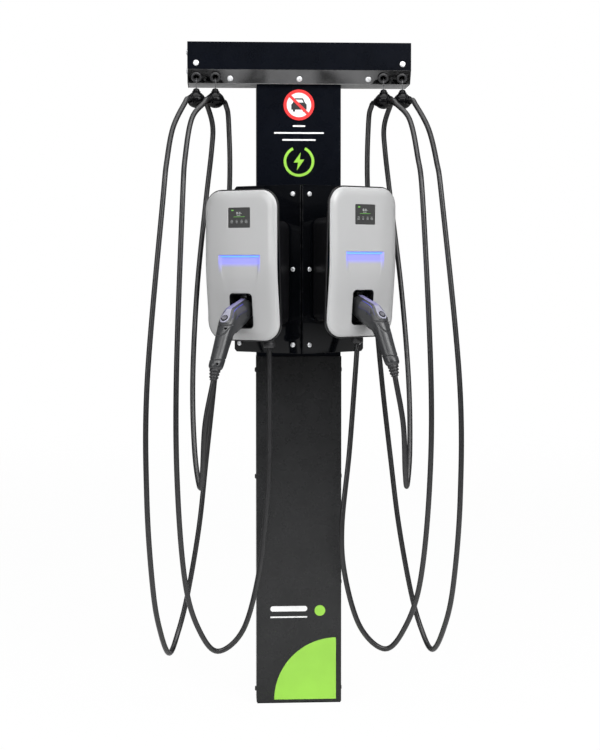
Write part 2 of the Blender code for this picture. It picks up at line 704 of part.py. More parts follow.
# ---- chargers ----------------------------------------------------------------------------------
def charger_frame(name, side):
    """The empty that carries a charger: origin on the wing, -Y out of the wing, +X to its right."""
    frame = bpy.data.objects.new(f"{name}_charger_frame", None)
    PARTS.objects.link(frame)
    frame.parent = POST_FRAME
    frame.location = wing_point(side, CHARGER_U, 0, CHARGER_Z[name])
    frame.rotation_euler.z = side * V_ANGLE
    return frame


def face_ring(width, height, radius, y, centre_z=0.0):
    return [(x, y, z + centre_z) for x, z in rounded_rectangle(width, height, radius)]


def hollow(obj, thickness):
    shell = obj.modifiers.new("Wall", "SOLIDIFY")
    shell.thickness = thickness
    shell.offset = -1
    shell.use_even_offset = True
    return obj


def rounded_block(name, width, height, radius, y_front, y_back, centre_z):
    return lofted(name, [face_ring(width, height, radius, y_front, centre_z),
                         face_ring(width, height, radius, y_back, centre_z)])


def back_shell(name):
    rim_y = COVER_EDGE + GAP - CHARGER_DEPTH
    rings = [face_ring(RIM_WIDTH, RIM_HEIGHT, 0.06, rim_y),
             face_ring(RIM_WIDTH, RIM_HEIGHT, 0.06, rim_y + 0.008),
             face_ring(0.25, 0.45, 0.05, rim_y + 0.022),
             face_ring(0.222, 0.4, 0.04, -0.088, -0.008),
             face_ring(BACK_WIDTH, BACK_HEIGHT, 0.026, -0.08, BACK_CENTRE_Z),
             face_ring(BACK_WIDTH, BACK_HEIGHT, 0.026, -0.008, BACK_CENTRE_Z),
             face_ring(BACK_WIDTH - 0.014, BACK_HEIGHT - 0.014, 0.02, -GAP, BACK_CENTRE_Z)]
    shell = hollow(lofted(f"{name}_back_shell", rings, cap_first=False), BACK_WALL)
    seat, reach = BACK_CENTRE_Z - BACK_HEIGHT / 2, 4 * CUT_REACH
    hole = ((GLAND_X, GLAND_Y, seat - reach), (GLAND_X, GLAND_Y, seat + reach), GLAND_HOLE_RADIUS)
    subtract(shell, rods(f"{name}_gland_hole", hole))
    return shell


def front_cover(name):
    front = -CHARGER_DEPTH
    radius = COVER_CORNER
    rings = [face_ring(COVER_WIDTH, COVER_HEIGHT, radius, front + COVER_EDGE),
             face_ring(COVER_WIDTH, COVER_HEIGHT, radius, front + COVER_EDGE - 0.004),
             face_ring(COVER_WIDTH - 0.012, COVER_HEIGHT - 0.012, radius - 0.006, front + 0.004),
             face_ring(COVER_WIDTH - 0.034, COVER_HEIGHT - 0.034, radius - 0.017, front + 0.001),
             face_ring(COVER_WIDTH - 0.06, COVER_HEIGHT - 0.06, radius - 0.03, front)]
    shell = lofted(f"{name}_front_cover", rings, cap_first=False)
    hollow(shell, COVER_WALL)
    room = 2 * GAP
    openings = (("screen_window", SCREEN_SIZE, SCREEN_CORNER, SCREEN_Z),
                ("light_slot", LIGHT_BAR_SIZE, LIGHT_BAR_CORNER, LIGHT_BAR_Z),
                ("holster_opening", HOLSTER_SIZE, HOLSTER_CORNER, HOLSTER_Z))
    for title, (width, height), corner, centre_z in openings:
        subtract(shell, rounded_block(f"{name}_{title}", width + room, height + room, corner,
                                      front - CUT_REACH, front + CUT_REACH, centre_z))
    return shell


def charger_parts(name, frame):
    front = -CHARGER_DEPTH
    finish(back_shell(name), (0.012, 0.012, 0.013), 0.4, parent=frame)
    finish(front_cover(name), (0.68, 0.69, 0.7), 0.3, parent=frame)
    sunk = front + 2 * GAP
    screen = rounded_block(f"{name}_display", *SCREEN_SIZE, SCREEN_CORNER, sunk, front + 0.009, SCREEN_Z)
    finish(screen, (0.03, 0.03, 0.032), 0.1, parent=frame)
    bar = rounded_block(f"{name}_light_bar", *LIGHT_BAR_SIZE, LIGHT_BAR_CORNER, sunk, front + 0.012,
                        LIGHT_BAR_Z)
    finish(bar, (0.25, 0.5, 1.0), 0.3, parent=frame)
    width, height = HOLSTER_SIZE
    wall, back = HOLSTER_WALL, front + HOLSTER_DEPTH
    cup = rounded_block(f"{name}_holster", width, height, HOLSTER_CORNER, sunk, back, HOLSTER_Z)
    subtract(cup, rounded_block(f"{name}_cup_inside", width - 2 * wall, height - 2 * wall,
                                HOLSTER_CORNER - wall, front - CUT_REACH, back - wall, HOLSTER_Z))
    finish(cup, (0.01, 0.01, 0.011), 0.25, parent=frame)
    board = boxes(f"{name}_control_board", ((-0.07, -0.026, -0.17), (0.07, -0.024, 0.12)))
    blocks = (((-0.055, -0.065, -0.1), (0.005, -0.025, -0.02)), ((0.02, -0.05, -0.06), (0.06, -0.025, 0.0)),
              ((-0.05, -0.045, 0.02), (0.03, -0.025, 0.05)), ((-0.03, -0.06, 0.07), (0.05, -0.025, 0.1)))
    for number, corners in enumerate(blocks):
        unite(board, boxes(f"{name}_relay_{number}", corners))
    finish(board, (0.03, 0.18, 0.08), 0.5, parent=frame)
    seat = BACK_CENTRE_Z - BACK_HEIGHT / 2
    inside = seat + BACK_WALL + GAP
    profile = ((0.0125, inside + 0.009), (0.0125, seat - GAP), (0.0185, seat - GAP), (0.0185, seat - 0.008),
               (0.016, seat - 0.009), (0.016, GLAND_FOOT_Z + 0.018), (0.0195, GLAND_FOOT_Z + 0.016),
               (0.0195, GLAND_FOOT_Z + 0.004), (0.0165, GLAND_FOOT_Z), (CABLE_BORE, GLAND_FOOT_Z),
               (CABLE_BORE, inside + 0.009))
    place = Matrix.Translation((GLAND_X, GLAND_Y, 0))
    gland = turned(f"{name}_cable_gland", profile, place, steps=14, closed=True)
    finish(gland, (0.08, 0.08, 0.085), 0.4, parent=frame)


# ---- plugs -------------------------------------------------------------------------------------
def out_of_face(n, z, x=0.0):
    """A charger point given by its distance out of the cover's face and its height."""
    return Vector((x, -CHARGER_DEPTH - n, z))


GRIP_STATIONS = (
    # out of face, height, slope in degrees, half depth, half width
    (*NOSE_END, 27.3, 0.0300, 0.0280),
    (0.000, -0.1539, 25.2, 0.0350, 0.0305),
    (0.0344, -0.1708, 25.2, 0.0378, 0.0305),
    (0.061, -0.1920, 45, 0.0330, 0.0300),
    (0.077, -0.2100, 62, 0.0285, 0.0265),
    (0.098, -0.2500, 66, 0.0255, 0.0250),
    (0.115, -0.2850, 64, 0.0245, 0.0235),
    (0.134, -0.3220, 73.8, 0.0225, 0.0215),
)


def grip_ring(n, z, slope, half_depth, half_width, count=16):
    up = Vector((math.sin(math.radians(slope)), math.cos(math.radians(slope))))
    ring = []
    for i in range(count):
        angle = 2 * math.pi * i / count
        lift = up * half_depth * math.sin(angle)
        ring.append(out_of_face(n + lift.x, z + lift.y, half_width * math.cos(angle)))
    return ring


TRIM_OUTLINE = ((-0.02, -0.107), (0.0545, -0.1345), (0.0945, -0.1788), (0.0845, -0.1835),
                (0.0475, -0.1475), (-0.02, -0.1205))


def trim_outline(grow):
    """Side view of the strip on top of the plug as (y, z), each edge moved out by a clearance."""
    points = [Vector(point) for point in TRIM_OUTLINE]
    grown = []
    for before, here, after in zip(points[-1:] + points[:-1], points, points[1:] + points[:1]):
        one = Vector((before.y - here.y, here.x - before.x)).normalized()
        two = Vector((here.y - after.y, after.x - here.x)).normalized()
        moved = here + (one + two) / (1 + one.dot(two)) * grow
        grown.append((-CHARGER_DEPTH - moved.x, moved.y))
    return grown


BUTTON_OUT = Vector((0, -math.sin(BUTTON_TILT), math.cos(BUTTON_TILT)))


def plug_parts(name, frame):
    handle = lofted(f"{name}_plug_handle", [grip_ring(*station) for station in GRIP_STATIONS])
    seat = out_of_face(BUTTON_N, BUTTON_Z)
    width = TRIM_HALF_WIDTH
    well = (seat - BUTTON_OUT * 0.018, seat + BUTTON_OUT * 0.02, BUTTON_RADIUS + GAP)
    nose = out_of_face(*NOSE_END)
    inward = Vector((0, math.cos(NOSE_SLOPE), math.sin(NOSE_SLOPE)))
    subtract(handle, across(f"{name}_trim_seat", trim_outline(GAP), -width - GAP, width + GAP))
    subtract(handle, rods(f"{name}_handle_well", well))
    socket = (nose + inward * 0.02, nose - inward * 0.022, NOSE_SOCKET_RADIUS)
    subtract(handle, rods(f"{name}_nose_socket", socket))
    finish(handle, (0.085, 0.087, 0.092), 0.45, parent=frame)

    trim = across(f"{name}_plug_trim", trim_outline(0), -width, width)
    subtract(trim, rods(f"{name}_trim_well", well))
    finish(trim, (0.5, 0.5, 0.58), 0.4, parent=frame)

    button = rods(f"{name}_latch_button", (
        seat - BUTTON_OUT * BUTTON_DEPTH, seat + BUTTON_OUT * BUTTON_PROUD, BUTTON_RADIUS))
    finish(button, (0.2, 0.2, 0.22), 0.4, parent=frame)

    start, end = out_of_face(*BOOT_START), out_of_face(*BOOT_END)
    length = (end - start).length
    profile = [(0.0175, length)]
    ribs = 3
    for i in range(ribs):
        top = length - 0.005 - i * (length - 0.007) / ribs
        shrink = 0.0012 * i
        profile += [(0.0172 - shrink, top), (0.0172 - shrink, top - 0.004), (0.0148 - shrink, top - 0.005)]
    profile += [(0.0115, 0), (CABLE_BORE, 0), (CABLE_BORE, length)]
    turn = (start - end).to_track_quat("Z", "Y").to_matrix().to_4x4()
    boot = turned(f"{name}_strain_boot", profile, Matrix.Translation(end) @ turn, steps=12, closed=True)
    finish(boot, (0.045, 0.045, 0.048), 0.6, parent=frame)


# ---- charging cables ---------------------------------------------------------------------------
INNER_LEG = {
    # the short run of each side from its gland to the foot of the first loop, as (x, y, z)
    "left": ((-0.1035, -0.15, 1.1), (-0.104, -0.155, 0.86), (-0.114, -0.16, 0.68),
             (-0.139, -0.165, 0.47), (-0.19, -0.17, 0.29)),
    "right": ((0.178, -0.105, 1.1), (0.158, -0.125, 0.86), (0.131, -0.16, 0.62), (0.141, -0.165, 0.46),
              (0.19, -0.17, 0.295)),
}
FIRST_RISE = (
    # up the outside of the first loop to the inner clamp; x is the distance from the middle
    (0.271, -0.17, 0.222), (0.33, -0.21, 0.3), (0.373, -0.26, 0.46), (0.396, -0.3, 0.76),
    (0.399, -0.31, 1.11), (0.38, -0.25, 1.67), (0.372, -0.18, 1.82), (0.352, -0.135, 1.94),
)
SECOND_LOOP = (
    # down behind the charger, round the foot and up to the outer clamp
    (0.233, 0.012, 1.94), (0.2305, 0.014, 1.72), (0.256, 0.022, 1.35), (0.281, 0.03, 1.08),
    (0.309, 0.015, 0.82), (0.333, -0.02, 0.6), (0.371, -0.045, 0.38), (0.402, -0.08, 0.262),
    (0.428, -0.15, 0.213), (0.453, -0.23, 0.3), (0.474, -0.29, 0.45), (0.491, -0.32, 0.74),
    (0.489, -0.31, 1.11), (0.4415, -0.25, 1.673), (0.43, -0.205, 1.8), (0.412, -0.145, 1.91),
)
THIRD_LOOP = (
    # down beside the charger, round the foot and up to the plug
    (0.286, 0.018, 1.93), (0.2895, 0.02, 1.85), (0.31, 0.016, 1.67), (0.338, -0.04, 1.385),
    (0.351, -0.13, 1.095), (0.344, -0.22, 0.88), (0.327, -0.285, 0.772), (0.318, -0.31, 0.82),
    (0.31, -0.322, 0.97),
)


def smooth_path(points, step=0.16, bend=math.radians(26)):
    """A Catmull-Rom curve through the points, with more points the tighter it bends."""
    path = []
    padded = [points[0] * 2 - points[1], *points, points[-1] * 2 - points[-2]]
    for a, b, c, d in zip(padded, padded[1:], padded[2:], padded[3:]):
        turn = (c - a).angle(d - b)
        pieces = max(1, round((c - b).length / step), round(turn / bend))
        for i in range(pieces):
            t = i / pieces
            path.append(0.5 * (2 * b + (c - a) * t + (2 * a - 5 * b + 4 * c - d) * t * t
                               + (3 * b - a - 3 * c + d) * t ** 3))
    path.append(points[-1])
    return path


def through_clamp(side, reel_name, from_front):
    """The straight run of cable through a clamp, and the bend just outside each collar."""
    centre = Vector((side * REEL_X[reel_name], CLAMP_Y, CLAMP_Z))
    front = Vector((side * math.cos(CLAMP_TURN), -math.sin(CLAMP_TURN), 0))
    sag = Vector((0, 0, -0.014))
    run = [front * 0.062 + sag, front * 0.042, front * -0.042, front * -0.062 + sag]
    points = [centre + offset for offset in run]
    return points if from_front else points[::-1]


def charging_cable(name, side, frame):
    def mirrored(points):
        return [Vector((side * x, y, z)) for x, y, z in points]

    bpy.context.view_layer.update()
    gland_top = frame.matrix_local @ Vector((GLAND_X, GLAND_Y, GLAND_FOOT_Z + 0.03))
    gland_foot = frame.matrix_local @ Vector((GLAND_X, GLAND_Y, GLAND_FOOT_Z - 0.006))
    boot = frame.matrix_local @ out_of_face(*BOOT_START)
    boot_foot = frame.matrix_local @ out_of_face(*BOOT_END)
    run_out = (boot_foot - boot).normalized()
    bends = [gland_foot, *map(Vector, INNER_LEG[name]), *mirrored(FIRST_RISE)]
    bends += through_clamp(side, "inner", True)
    bends += mirrored(SECOND_LOOP)
    bends += through_clamp(side, "outer", True)
    bends += mirrored(THIRD_LOOP) + [boot_foot + run_out * 0.003]
    path = [gland_top] + smooth_path(bends) + [boot + run_out * 0.0006]
    finish(tube(f"{name}_charging_cable", path, CABLE_RADIUS, 1), (0.03, 0.031, 0.033), 0.45)


# ---- assembly ----------------------------------------------------------------------------------
base_plate()
post_column()
post_front_cover()
head_chassis()
head_cover()
retractor_rail()
for side_name, side_sign in SIDES.items():
    post_screws(side_name, side_sign)
    head_screws(side_name, side_sign)
    spring_arbor(side_name, side_sign)
    bracket(side_name, side_sign)
    bracket_screws(side_name, side_sign)
    for reel_name, reel_x in REEL_X.items():
        reel(f"{side_name}_{reel_name}", side_sign * reel_x, side_sign)
    charger = charger_frame(side_name, side_sign)
    charger_parts(side_name, charger)
    plug_parts(side_name, charger)
    charging_cable(side_name, side_sign, charger)
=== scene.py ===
"""The looks of the EV charging post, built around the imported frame. Metres, +Z up, the front faces -Y."""

import json
import math

import bmesh
import bpy
from mathutils import Matrix, Vector


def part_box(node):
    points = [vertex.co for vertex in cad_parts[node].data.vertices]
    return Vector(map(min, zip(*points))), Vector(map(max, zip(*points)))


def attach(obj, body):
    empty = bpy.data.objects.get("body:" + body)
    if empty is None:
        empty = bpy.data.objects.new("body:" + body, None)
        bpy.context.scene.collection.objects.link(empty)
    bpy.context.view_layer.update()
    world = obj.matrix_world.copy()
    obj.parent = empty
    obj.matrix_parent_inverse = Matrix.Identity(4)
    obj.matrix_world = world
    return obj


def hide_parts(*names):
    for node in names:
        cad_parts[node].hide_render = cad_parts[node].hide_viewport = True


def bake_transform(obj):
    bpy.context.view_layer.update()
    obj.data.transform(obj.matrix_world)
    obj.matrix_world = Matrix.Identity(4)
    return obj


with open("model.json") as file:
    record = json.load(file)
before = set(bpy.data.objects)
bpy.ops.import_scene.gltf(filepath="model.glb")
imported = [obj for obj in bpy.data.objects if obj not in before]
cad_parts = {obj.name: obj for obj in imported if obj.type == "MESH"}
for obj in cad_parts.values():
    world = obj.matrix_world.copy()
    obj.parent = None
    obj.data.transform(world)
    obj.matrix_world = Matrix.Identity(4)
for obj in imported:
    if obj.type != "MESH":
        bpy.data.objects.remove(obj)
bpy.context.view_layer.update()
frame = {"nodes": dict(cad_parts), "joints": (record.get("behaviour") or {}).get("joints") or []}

# ---- places taken from the frame ---------------------------------------------------------------
SIDES = {"left": -1, "right": 1}
NODES = frame["nodes"]
JOINTS = {joint["name"]: joint for joint in frame["joints"]}

POST_LOW, POST_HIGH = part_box("post_column")
ACCESS_LOW, ACCESS_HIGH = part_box("post_front_cover")
HEAD_LOW, HEAD_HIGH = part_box("head_cover")
PLUG_AXIS = Vector(JOINTS["right_plug_draw"]["axis"])
V_ANGLE = math.atan2(PLUG_AXIS.x, -PLUG_AXIS.y)

# ---- driving sizes of the fine pieces ----------------------------------------------------------
GAP = 0.0003  # between pieces that touch, as in the CAD
SHEET = 0.002
CHARGER_DEPTH = 0.155
COVER_HALF = (0.136, 0.239)
COVER_CORNER = 0.058
COVER_SKIRT = 0.013
EDGE_REACH = 0.03
EDGE_DROP = 0.012
COVER_WALL = 0.0025
RECEDE = 0.018
RECEDE_TOP = 0.02
CHANNEL_DEPTH = 0.0007
RIM_HALF = (0.14, 0.243)
BACK_HALF = (0.095, 0.1675)
BACK_CENTRE_Z = -0.0245
SCREEN_HALF = (0.0415, 0.032)
SCREEN_Z = 0.152
DISPLAY_MIDDLE = 0.0048
BAR_HALF = (0.0795, 0.0045)
BAR_Z = 0.0275
RECESS_DEPTH = 0.0075
RECESS_RUN = 0.078
RECESS_TOP = BAR_Z + BAR_HALF[1] + 0.001
RECESS_FLOOR_HALF = 0.0675
HOLSTER_HALF = (0.0435, 0.0565)
HOLSTER_Z = -0.1455
HOLSTER_DEPTH = 0.058
GLAND = Vector((0.05, -0.055, -0.266))

CABLE_RADIUS = 0.0085
CABLE_BORE = CABLE_RADIUS + GAP
CLAMP_TURN = math.radians(55)
REEL_X = {"inner": 0.277, "outer": 0.339}
SEAM = 0.0002


def charger_place(side):
    """Where a charger stands: origin on the wing behind its middle, local -Y out of the face."""
    low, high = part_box(f"{side}_display")
    turn = Matrix.Rotation(SIDES[side] * V_ANGLE, 4, "Z")
    local = Vector((0, DISPLAY_MIDDLE - CHARGER_DEPTH, SCREEN_Z))
    return Matrix.Translation((low + high) / 2 - turn.to_3x3() @ local) @ turn


FACE_UP = Matrix.Rotation(math.pi / 2, 4, "X")  # stands a drawing up, to face the front


# ---- mesh helpers ------------------------------------------------------------------------------
def as_object(name, bm, sharp=35):
    """A smooth-shaded object whose edges above the angle stay crisp."""
    mesh = bpy.data.meshes.new(name)
    bm.to_mesh(mesh)
    bm.free()
    mesh.shade_smooth()
    mesh.set_sharp_from_angle(angle=math.radians(sharp))
    obj = bpy.data.objects.new(name, mesh)
    bpy.context.scene.collection.objects.link(obj)
    return obj


def applied(obj, sharp=35):
    """The object with its modifiers worked into its mesh."""
    bpy.context.view_layer.update()
    evaluated = obj.evaluated_get(bpy.context.evaluated_depsgraph_get())
    mesh = bpy.data.meshes.new_from_object(evaluated)
    obj.modifiers.clear()
    obj.data = mesh
    mesh.shade_smooth()
    mesh.set_sharp_from_angle(angle=math.radians(sharp))
    return obj


def skin(name, rings, closed=True, sharp=35):
    """A skin through rings of points, with its ends filled when closed."""
    bm = bmesh.new()
    made = [[bm.verts.new(point) for point in ring] for ring in rings]
    for one, two in zip(made, made[1:]):
        for i in range(len(one)):
            j = (i + 1) % len(one)
            bm.faces.new((one[i], one[j], two[j], two[i]))
    if closed:
        bm.faces.new(made[0])
        bm.faces.new(made[-1])
    bmesh.ops.recalc_face_normals(bm, faces=bm.faces)
    return as_object(name, bm, sharp)


def turned(name, profile, steps=40, sharp=35):
    """A (radius, z) profile turned about Z. A profile that leaves the axis and doesn't return is closed."""
    mesh = bpy.data.meshes.new(name)
    count = len(profile)
    ring_shaped = min(r for r, z in profile) > 0
    edges = [(i, (i + 1) % count) for i in range(count if ring_shaped else count - 1)]
    mesh.from_pydata([(r, 0, z) for r, z in profile], edges, [])
    obj = bpy.data.objects.new(name, mesh)
    bpy.context.scene.collection.objects.link(obj)
    screw = obj.modifiers.new("Turn", "SCREW")
    screw.steps = screw.render_steps = steps
    screw.use_merge_vertices = True
    screw.merge_threshold = 0.00001
    applied(obj)
    bm = bmesh.new()
    bm.from_mesh(obj.data)
    bmesh.ops.recalc_face_normals(bm, faces=bm.faces)
    bm.to_mesh(obj.data)
    bm.free()
    obj.data.set_sharp_from_angle(angle=math.radians(sharp))
    return obj


def arc(centre, radius, start, end, count):
    """Points of an arc, with angles in degrees."""
    angles = [math.radians(start + (end - start) * i / (count - 1)) for i in range(count)]
    return [(centre[0] + radius * math.cos(a), centre[1] + radius * math.sin(a)) for a in angles]


def rounded_rectangle(half_width, half_height, radius, count=9):
    points = []
    for sx, sz, first in ((1, -1, -90), (1, 1, 0), (-1, 1, 90), (-1, -1, 180)):
        centre = (sx * (half_width - radius), sz * (half_height - radius))
        points += arc(centre, radius, first, first + 90, count)
    return points


def flat_ring(outline, y, centre_z=0.0):
    return [(x, y, z + centre_z) for x, z in outline]


def pane(name, outline, shrink, front, depth, centre_z):
    """A plate that faces the front, with its face a little smaller than its outline."""
    face = [(x * shrink[0], z * shrink[1]) for x, z in outline]
    return skin(name, [flat_ring(face, front, centre_z), flat_ring(outline, front + 0.0008, centre_z),
                       flat_ring(outline, front + depth, centre_z)])


def prism(name, outline, place, thickness):
    """A 2D outline as a plate that stands on its own XY plane, then moved by place."""
    curve = bpy.data.curves.new(name, "CURVE")
    curve.dimensions = "2D"
    curve.fill_mode = "BOTH"
    curve.extrude = thickness / 2
    for loop in outline if isinstance(outline[0], list) else [outline]:
        spline = curve.splines.new("POLY")
        spline.points.add(len(loop) - 1)
        for point, (x, y) in zip(spline.points, loop):
            point.co = (x, y, 0, 1)
        spline.use_cyclic_u = True
    flat = bpy.data.objects.new(name, curve)
    bpy.context.scene.collection.objects.link(flat)
    bpy.context.view_layer.update()
    mesh = bpy.data.meshes.new_from_object(flat.evaluated_get(bpy.context.evaluated_depsgraph_get()))
    bpy.data.objects.remove(flat, do_unlink=True)
    bm = bmesh.new()
    bm.from_mesh(mesh)
    bmesh.ops.remove_doubles(bm, verts=bm.verts, dist=0.000001)
    bmesh.ops.transform(bm, matrix=place @ Matrix.Translation((0, 0, thickness / 2)), verts=bm.verts)
    bmesh.ops.recalc_face_normals(bm, faces=bm.faces)
    return as_object(name, bm, 30)


def eased(obj, width, angle, sharp=35):
    """The object with a small bevel on its edges above an angle in degrees."""
    edge = obj.modifiers.new("Edge", "BEVEL")
    edge.width = width
    edge.segments = 2
    edge.limit_method = "ANGLE"
    edge.angle_limit = math.radians(angle)
    return applied(obj, sharp)


def combined(obj, operation, tools):
    """The object after a Boolean with each tool. The tools are used up."""
    for tool in tools:
        step = obj.modifiers.new("Step", "BOOLEAN")
        step.operation = operation
        step.solver = "EXACT"
        step.object = tool
    applied(obj)
    for tool in tools:
        bpy.data.objects.remove(tool, do_unlink=True)
    return obj


def cut(obj, *tools):
    return combined(obj, "DIFFERENCE", tools)


def joined(obj, *others):
    return combined(obj, "UNION", others)


def merged(name, objects):
    """Several objects' meshes as one piece."""
    bm = bmesh.new()
    for obj in objects:
        part = obj.data.copy()
        part.transform(obj.matrix_world)
        bm.from_mesh(part)
        bpy.data.meshes.remove(part)
        bpy.data.objects.remove(obj, do_unlink=True)
    return as_object(name, bm)


def block(name, low, high, bevel):
    """A softened box from its lowest and highest corner."""
    low, high = Vector(low), Vector(high)
    bm = bmesh.new()
    size = Matrix.Diagonal((*(high - low), 1))
    bmesh.ops.create_cube(bm, size=1, matrix=Matrix.Translation((low + high) / 2) @ size)
    bmesh.ops.bevel(bm, geom=bm.edges, offset=bevel, segments=3, affect="EDGES", profile=0.5)
    return as_object(name, bm)


def standing(direction, origin=(0, 0, 0)):
    """The matrix that turns local +Z to a direction."""
    return Matrix.Translation(origin) @ Vector(direction).to_track_quat("Z", "Y").to_matrix().to_4x4()


def placed(obj, matrix):
    obj.matrix_world = matrix
    return obj


def worked_in(obj, matrix):
    """Move the mesh itself, so that the object stays at the origin."""
    obj.data.transform(matrix)
    return obj


def catmull(a, b, c, d, t):
    bend, twist = 2 * a - 5 * b + 4 * c - d, 3 * b - a - 3 * c + d
    return 0.5 * (2 * b + (c - a) * t + bend * t * t + twist * t ** 3)


def smooth(edge0, edge1, x):
    t = min(max((x - edge0) / (edge1 - edge0), 0), 1)
    return t * t * (3 - 2 * t)


# ---- materials ---------------------------------------------------------------------------------
class Recipe:
    """A node tree under construction, of a material or of a world."""

    def __init__(self, owner, shader="Principled BSDF"):
        owner.use_nodes = True
        self.material = owner
        self.nodes, self.links = owner.node_tree.nodes, owner.node_tree.links
        self.shader = self.nodes[shader]
        self.coords = self.node("TexCoord")

    def node(self, kind, **inputs):
        made = self.nodes.new("ShaderNode" + kind)
        for key, value in inputs.items():
            self.feed(made, key.replace("_", " "), value)
        return made

    def feed(self, node, socket, value):
        target = node.inputs[int(socket)] if socket.isdigit() else node.inputs[socket]
        if isinstance(value, bpy.types.NodeSocket):
            self.links.new(value, target)
        else:
            target.default_value = value

    def set(self, **inputs):
        """Feed inputs of the shader, and return the material."""
        for key, value in inputs.items():
            self.feed(self.shader, key.replace("_", " "), value)
        return self.material

    def maths(self, operation, one, two=0.0):
        made = self.node("Math")
        made.operation = operation
        self.feed(made, "0", one)
        self.feed(made, "1", two)
        return made.outputs[0]

    def times(self, one, two):
        return self.maths("MULTIPLY", one, two)

    def most(self, one, two):
        return self.maths("MAXIMUM", one, two)

    def vector_maths(self, operation, *inputs):
        made = self.node("VectorMath")
        made.operation = operation
        for number, value in enumerate(inputs):
            self.feed(made, str(number), value)
        return made.outputs["Value"]

    def noise(self, size, detail=3.0, stretch=(1, 1, 1)):
        scaled = self.node("Mapping", Vector=self.coords.outputs["Object"], Scale=stretch)
        return self.node("TexNoise", Vector=scaled.outputs[0], Scale=1 / size, Detail=detail).outputs["Fac"]

    def between(self, value, low, high, out_low, out_high):
        made = self.node("MapRange", Value=value, From_Min=low, From_Max=high, To_Min=out_low,
                         To_Max=out_high)
        made.interpolation_type = "SMOOTHSTEP"
        return made.outputs[0]

    def mix(self, share, one, two):
        made = self.node("Mix")
        made.data_type = "RGBA"
        self.feed(made, "0", share)
        for socket, value in (("6", one), ("7", two)):
            self.feed(made, socket, value if isinstance(value, bpy.types.NodeSocket) else (*value, 1))
        return made.outputs[2]

    def mix_shader(self, share, one, two):
        made = self.node("MixShader")
        for socket, value in (("0", share), ("1", one), ("2", two)):
            self.feed(made, socket, value)
        return made.outputs[0]

    def facing(self):
        return self.node("NewGeometry").outputs["Normal"]

    def axis(self, letter, vector=None):
        """One coordinate of a vector, by default of the place on the object."""
        return self.node("SeparateXYZ", Vector=vector or self.coords.outputs["Object"]).outputs[letter]


def new_recipe(name):
    return Recipe(bpy.data.materials.new(name))


def surface(name, colour, roughness, metallic=0.0, grain=0.0001, grain_size=0.002, drift=0.15,
            smudge=0.06, edge=0.0, coat=0.0, specular=0.5, stretch=(1, 1, 1)):
    """Colour that drifts, uneven gloss, a raised grain and, with edge, lighter edges: partly patchy wear,
    partly a painted highlight along the edges.
    """
    recipe = new_recipe(name)
    low = tuple(c * (1 - drift) for c in colour)
    high = tuple(min(1, c * (1 + drift)) for c in colour)
    paint = recipe.mix(recipe.between(recipe.noise(0.12), 0.3, 0.7, 0, 1), low, high)
    gloss = recipe.between(recipe.noise(0.035, 5), 0.3, 0.75, roughness - smudge, roughness + smudge)
    soft = recipe.node("Bevel", Radius=0.0012)
    soft.samples = 4
    bump = recipe.node("Bump", Height=recipe.noise(grain_size, 2, stretch), Distance=grain, Strength=1.0,
                       Normal=soft.outputs[0])
    if edge:
        # Edges painted lighter: partly patchy wear, partly a painted highlight where light would catch them.
        along = recipe.vector_maths("DOT_PRODUCT", soft.outputs[0], recipe.facing())
        patchy = recipe.between(recipe.noise(0.02, 6), 0.42, 0.62, 0.15, 1)
        worn_and_highlit = recipe.times(recipe.between(along, 0.98, 0.8, 0, edge), patchy)
        paint = recipe.mix(worn_and_highlit, paint, tuple(min(1, 0.12 + c * 1.5) for c in colour))
    recipe.set(Base_Color=paint, Roughness=gloss, Metallic=metallic, Specular_IOR_Level=specular,
               Coat_Weight=coat, Coat_Roughness=0.08, Normal=bump.outputs[0])
    recipe.made, recipe.gloss = paint, gloss
    return recipe


def paint_material():
    """Satin black coat, dull with settled dust where it faces up."""
    recipe = surface("black_powder_coat", (0.0022, 0.003, 0.0055), 0.28, grain=0.00001, grain_size=0.0016,
                     smudge=0.015, edge=0.3, specular=0.12)
    facing = recipe.axis("Z", recipe.facing())
    dust = recipe.between(facing, 0.8, 0.97, 0, 1)
    return recipe.set(Roughness=recipe.most(recipe.gloss, recipe.times(dust, 0.8)),
                      Specular_IOR_Level=recipe.between(facing, 0.8, 0.97, 0.12, 0.01),
                      Base_Color=recipe.mix(dust, recipe.made, (0.012, 0.012, 0.013)))


UNDERSIDE_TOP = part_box("head_chassis")[0].z + GAP


def chassis_material():
    """Dark metallic coat, matt and paler on the underside."""
    recipe = surface("chassis_coat", (0.095, 0.095, 0.097), 0.09, metallic=1.0, grain=0.00001,
                     grain_size=0.004, smudge=0.015, edge=0.2)
    slope, matt = (recipe.between(recipe.axis("Z"), UNDERSIDE_TOP, UNDERSIDE_TOP + 0.0004, *share)
                   for share in ((0, 1), (0.65, 0)))
    return recipe.set(Base_Color=recipe.mix(slope, (0.33, 0.33, 0.333), recipe.made), Metallic=slope,
                      Roughness=recipe.most(recipe.gloss, matt))


def trim_material():
    """Lilac grey along the nose, paler round the button; the lilac grey is painted shade and reflection on
    the nose's upward facet.
    """
    recipe = surface("grip_trim", (0.27, 0.27, 0.335), 0.32, grain=0.00002, grain_size=0.002, drift=0.04)
    # Mask of the painted shade and lilac reflection on the nose's upward facet, ending at the button.
    nose = recipe.between(recipe.axis("Z"), -0.1385, -0.1365, 0, 1)
    return recipe.set(Base_Color=recipe.mix(nose, recipe.made, (0.19, 0.18, 0.33)))


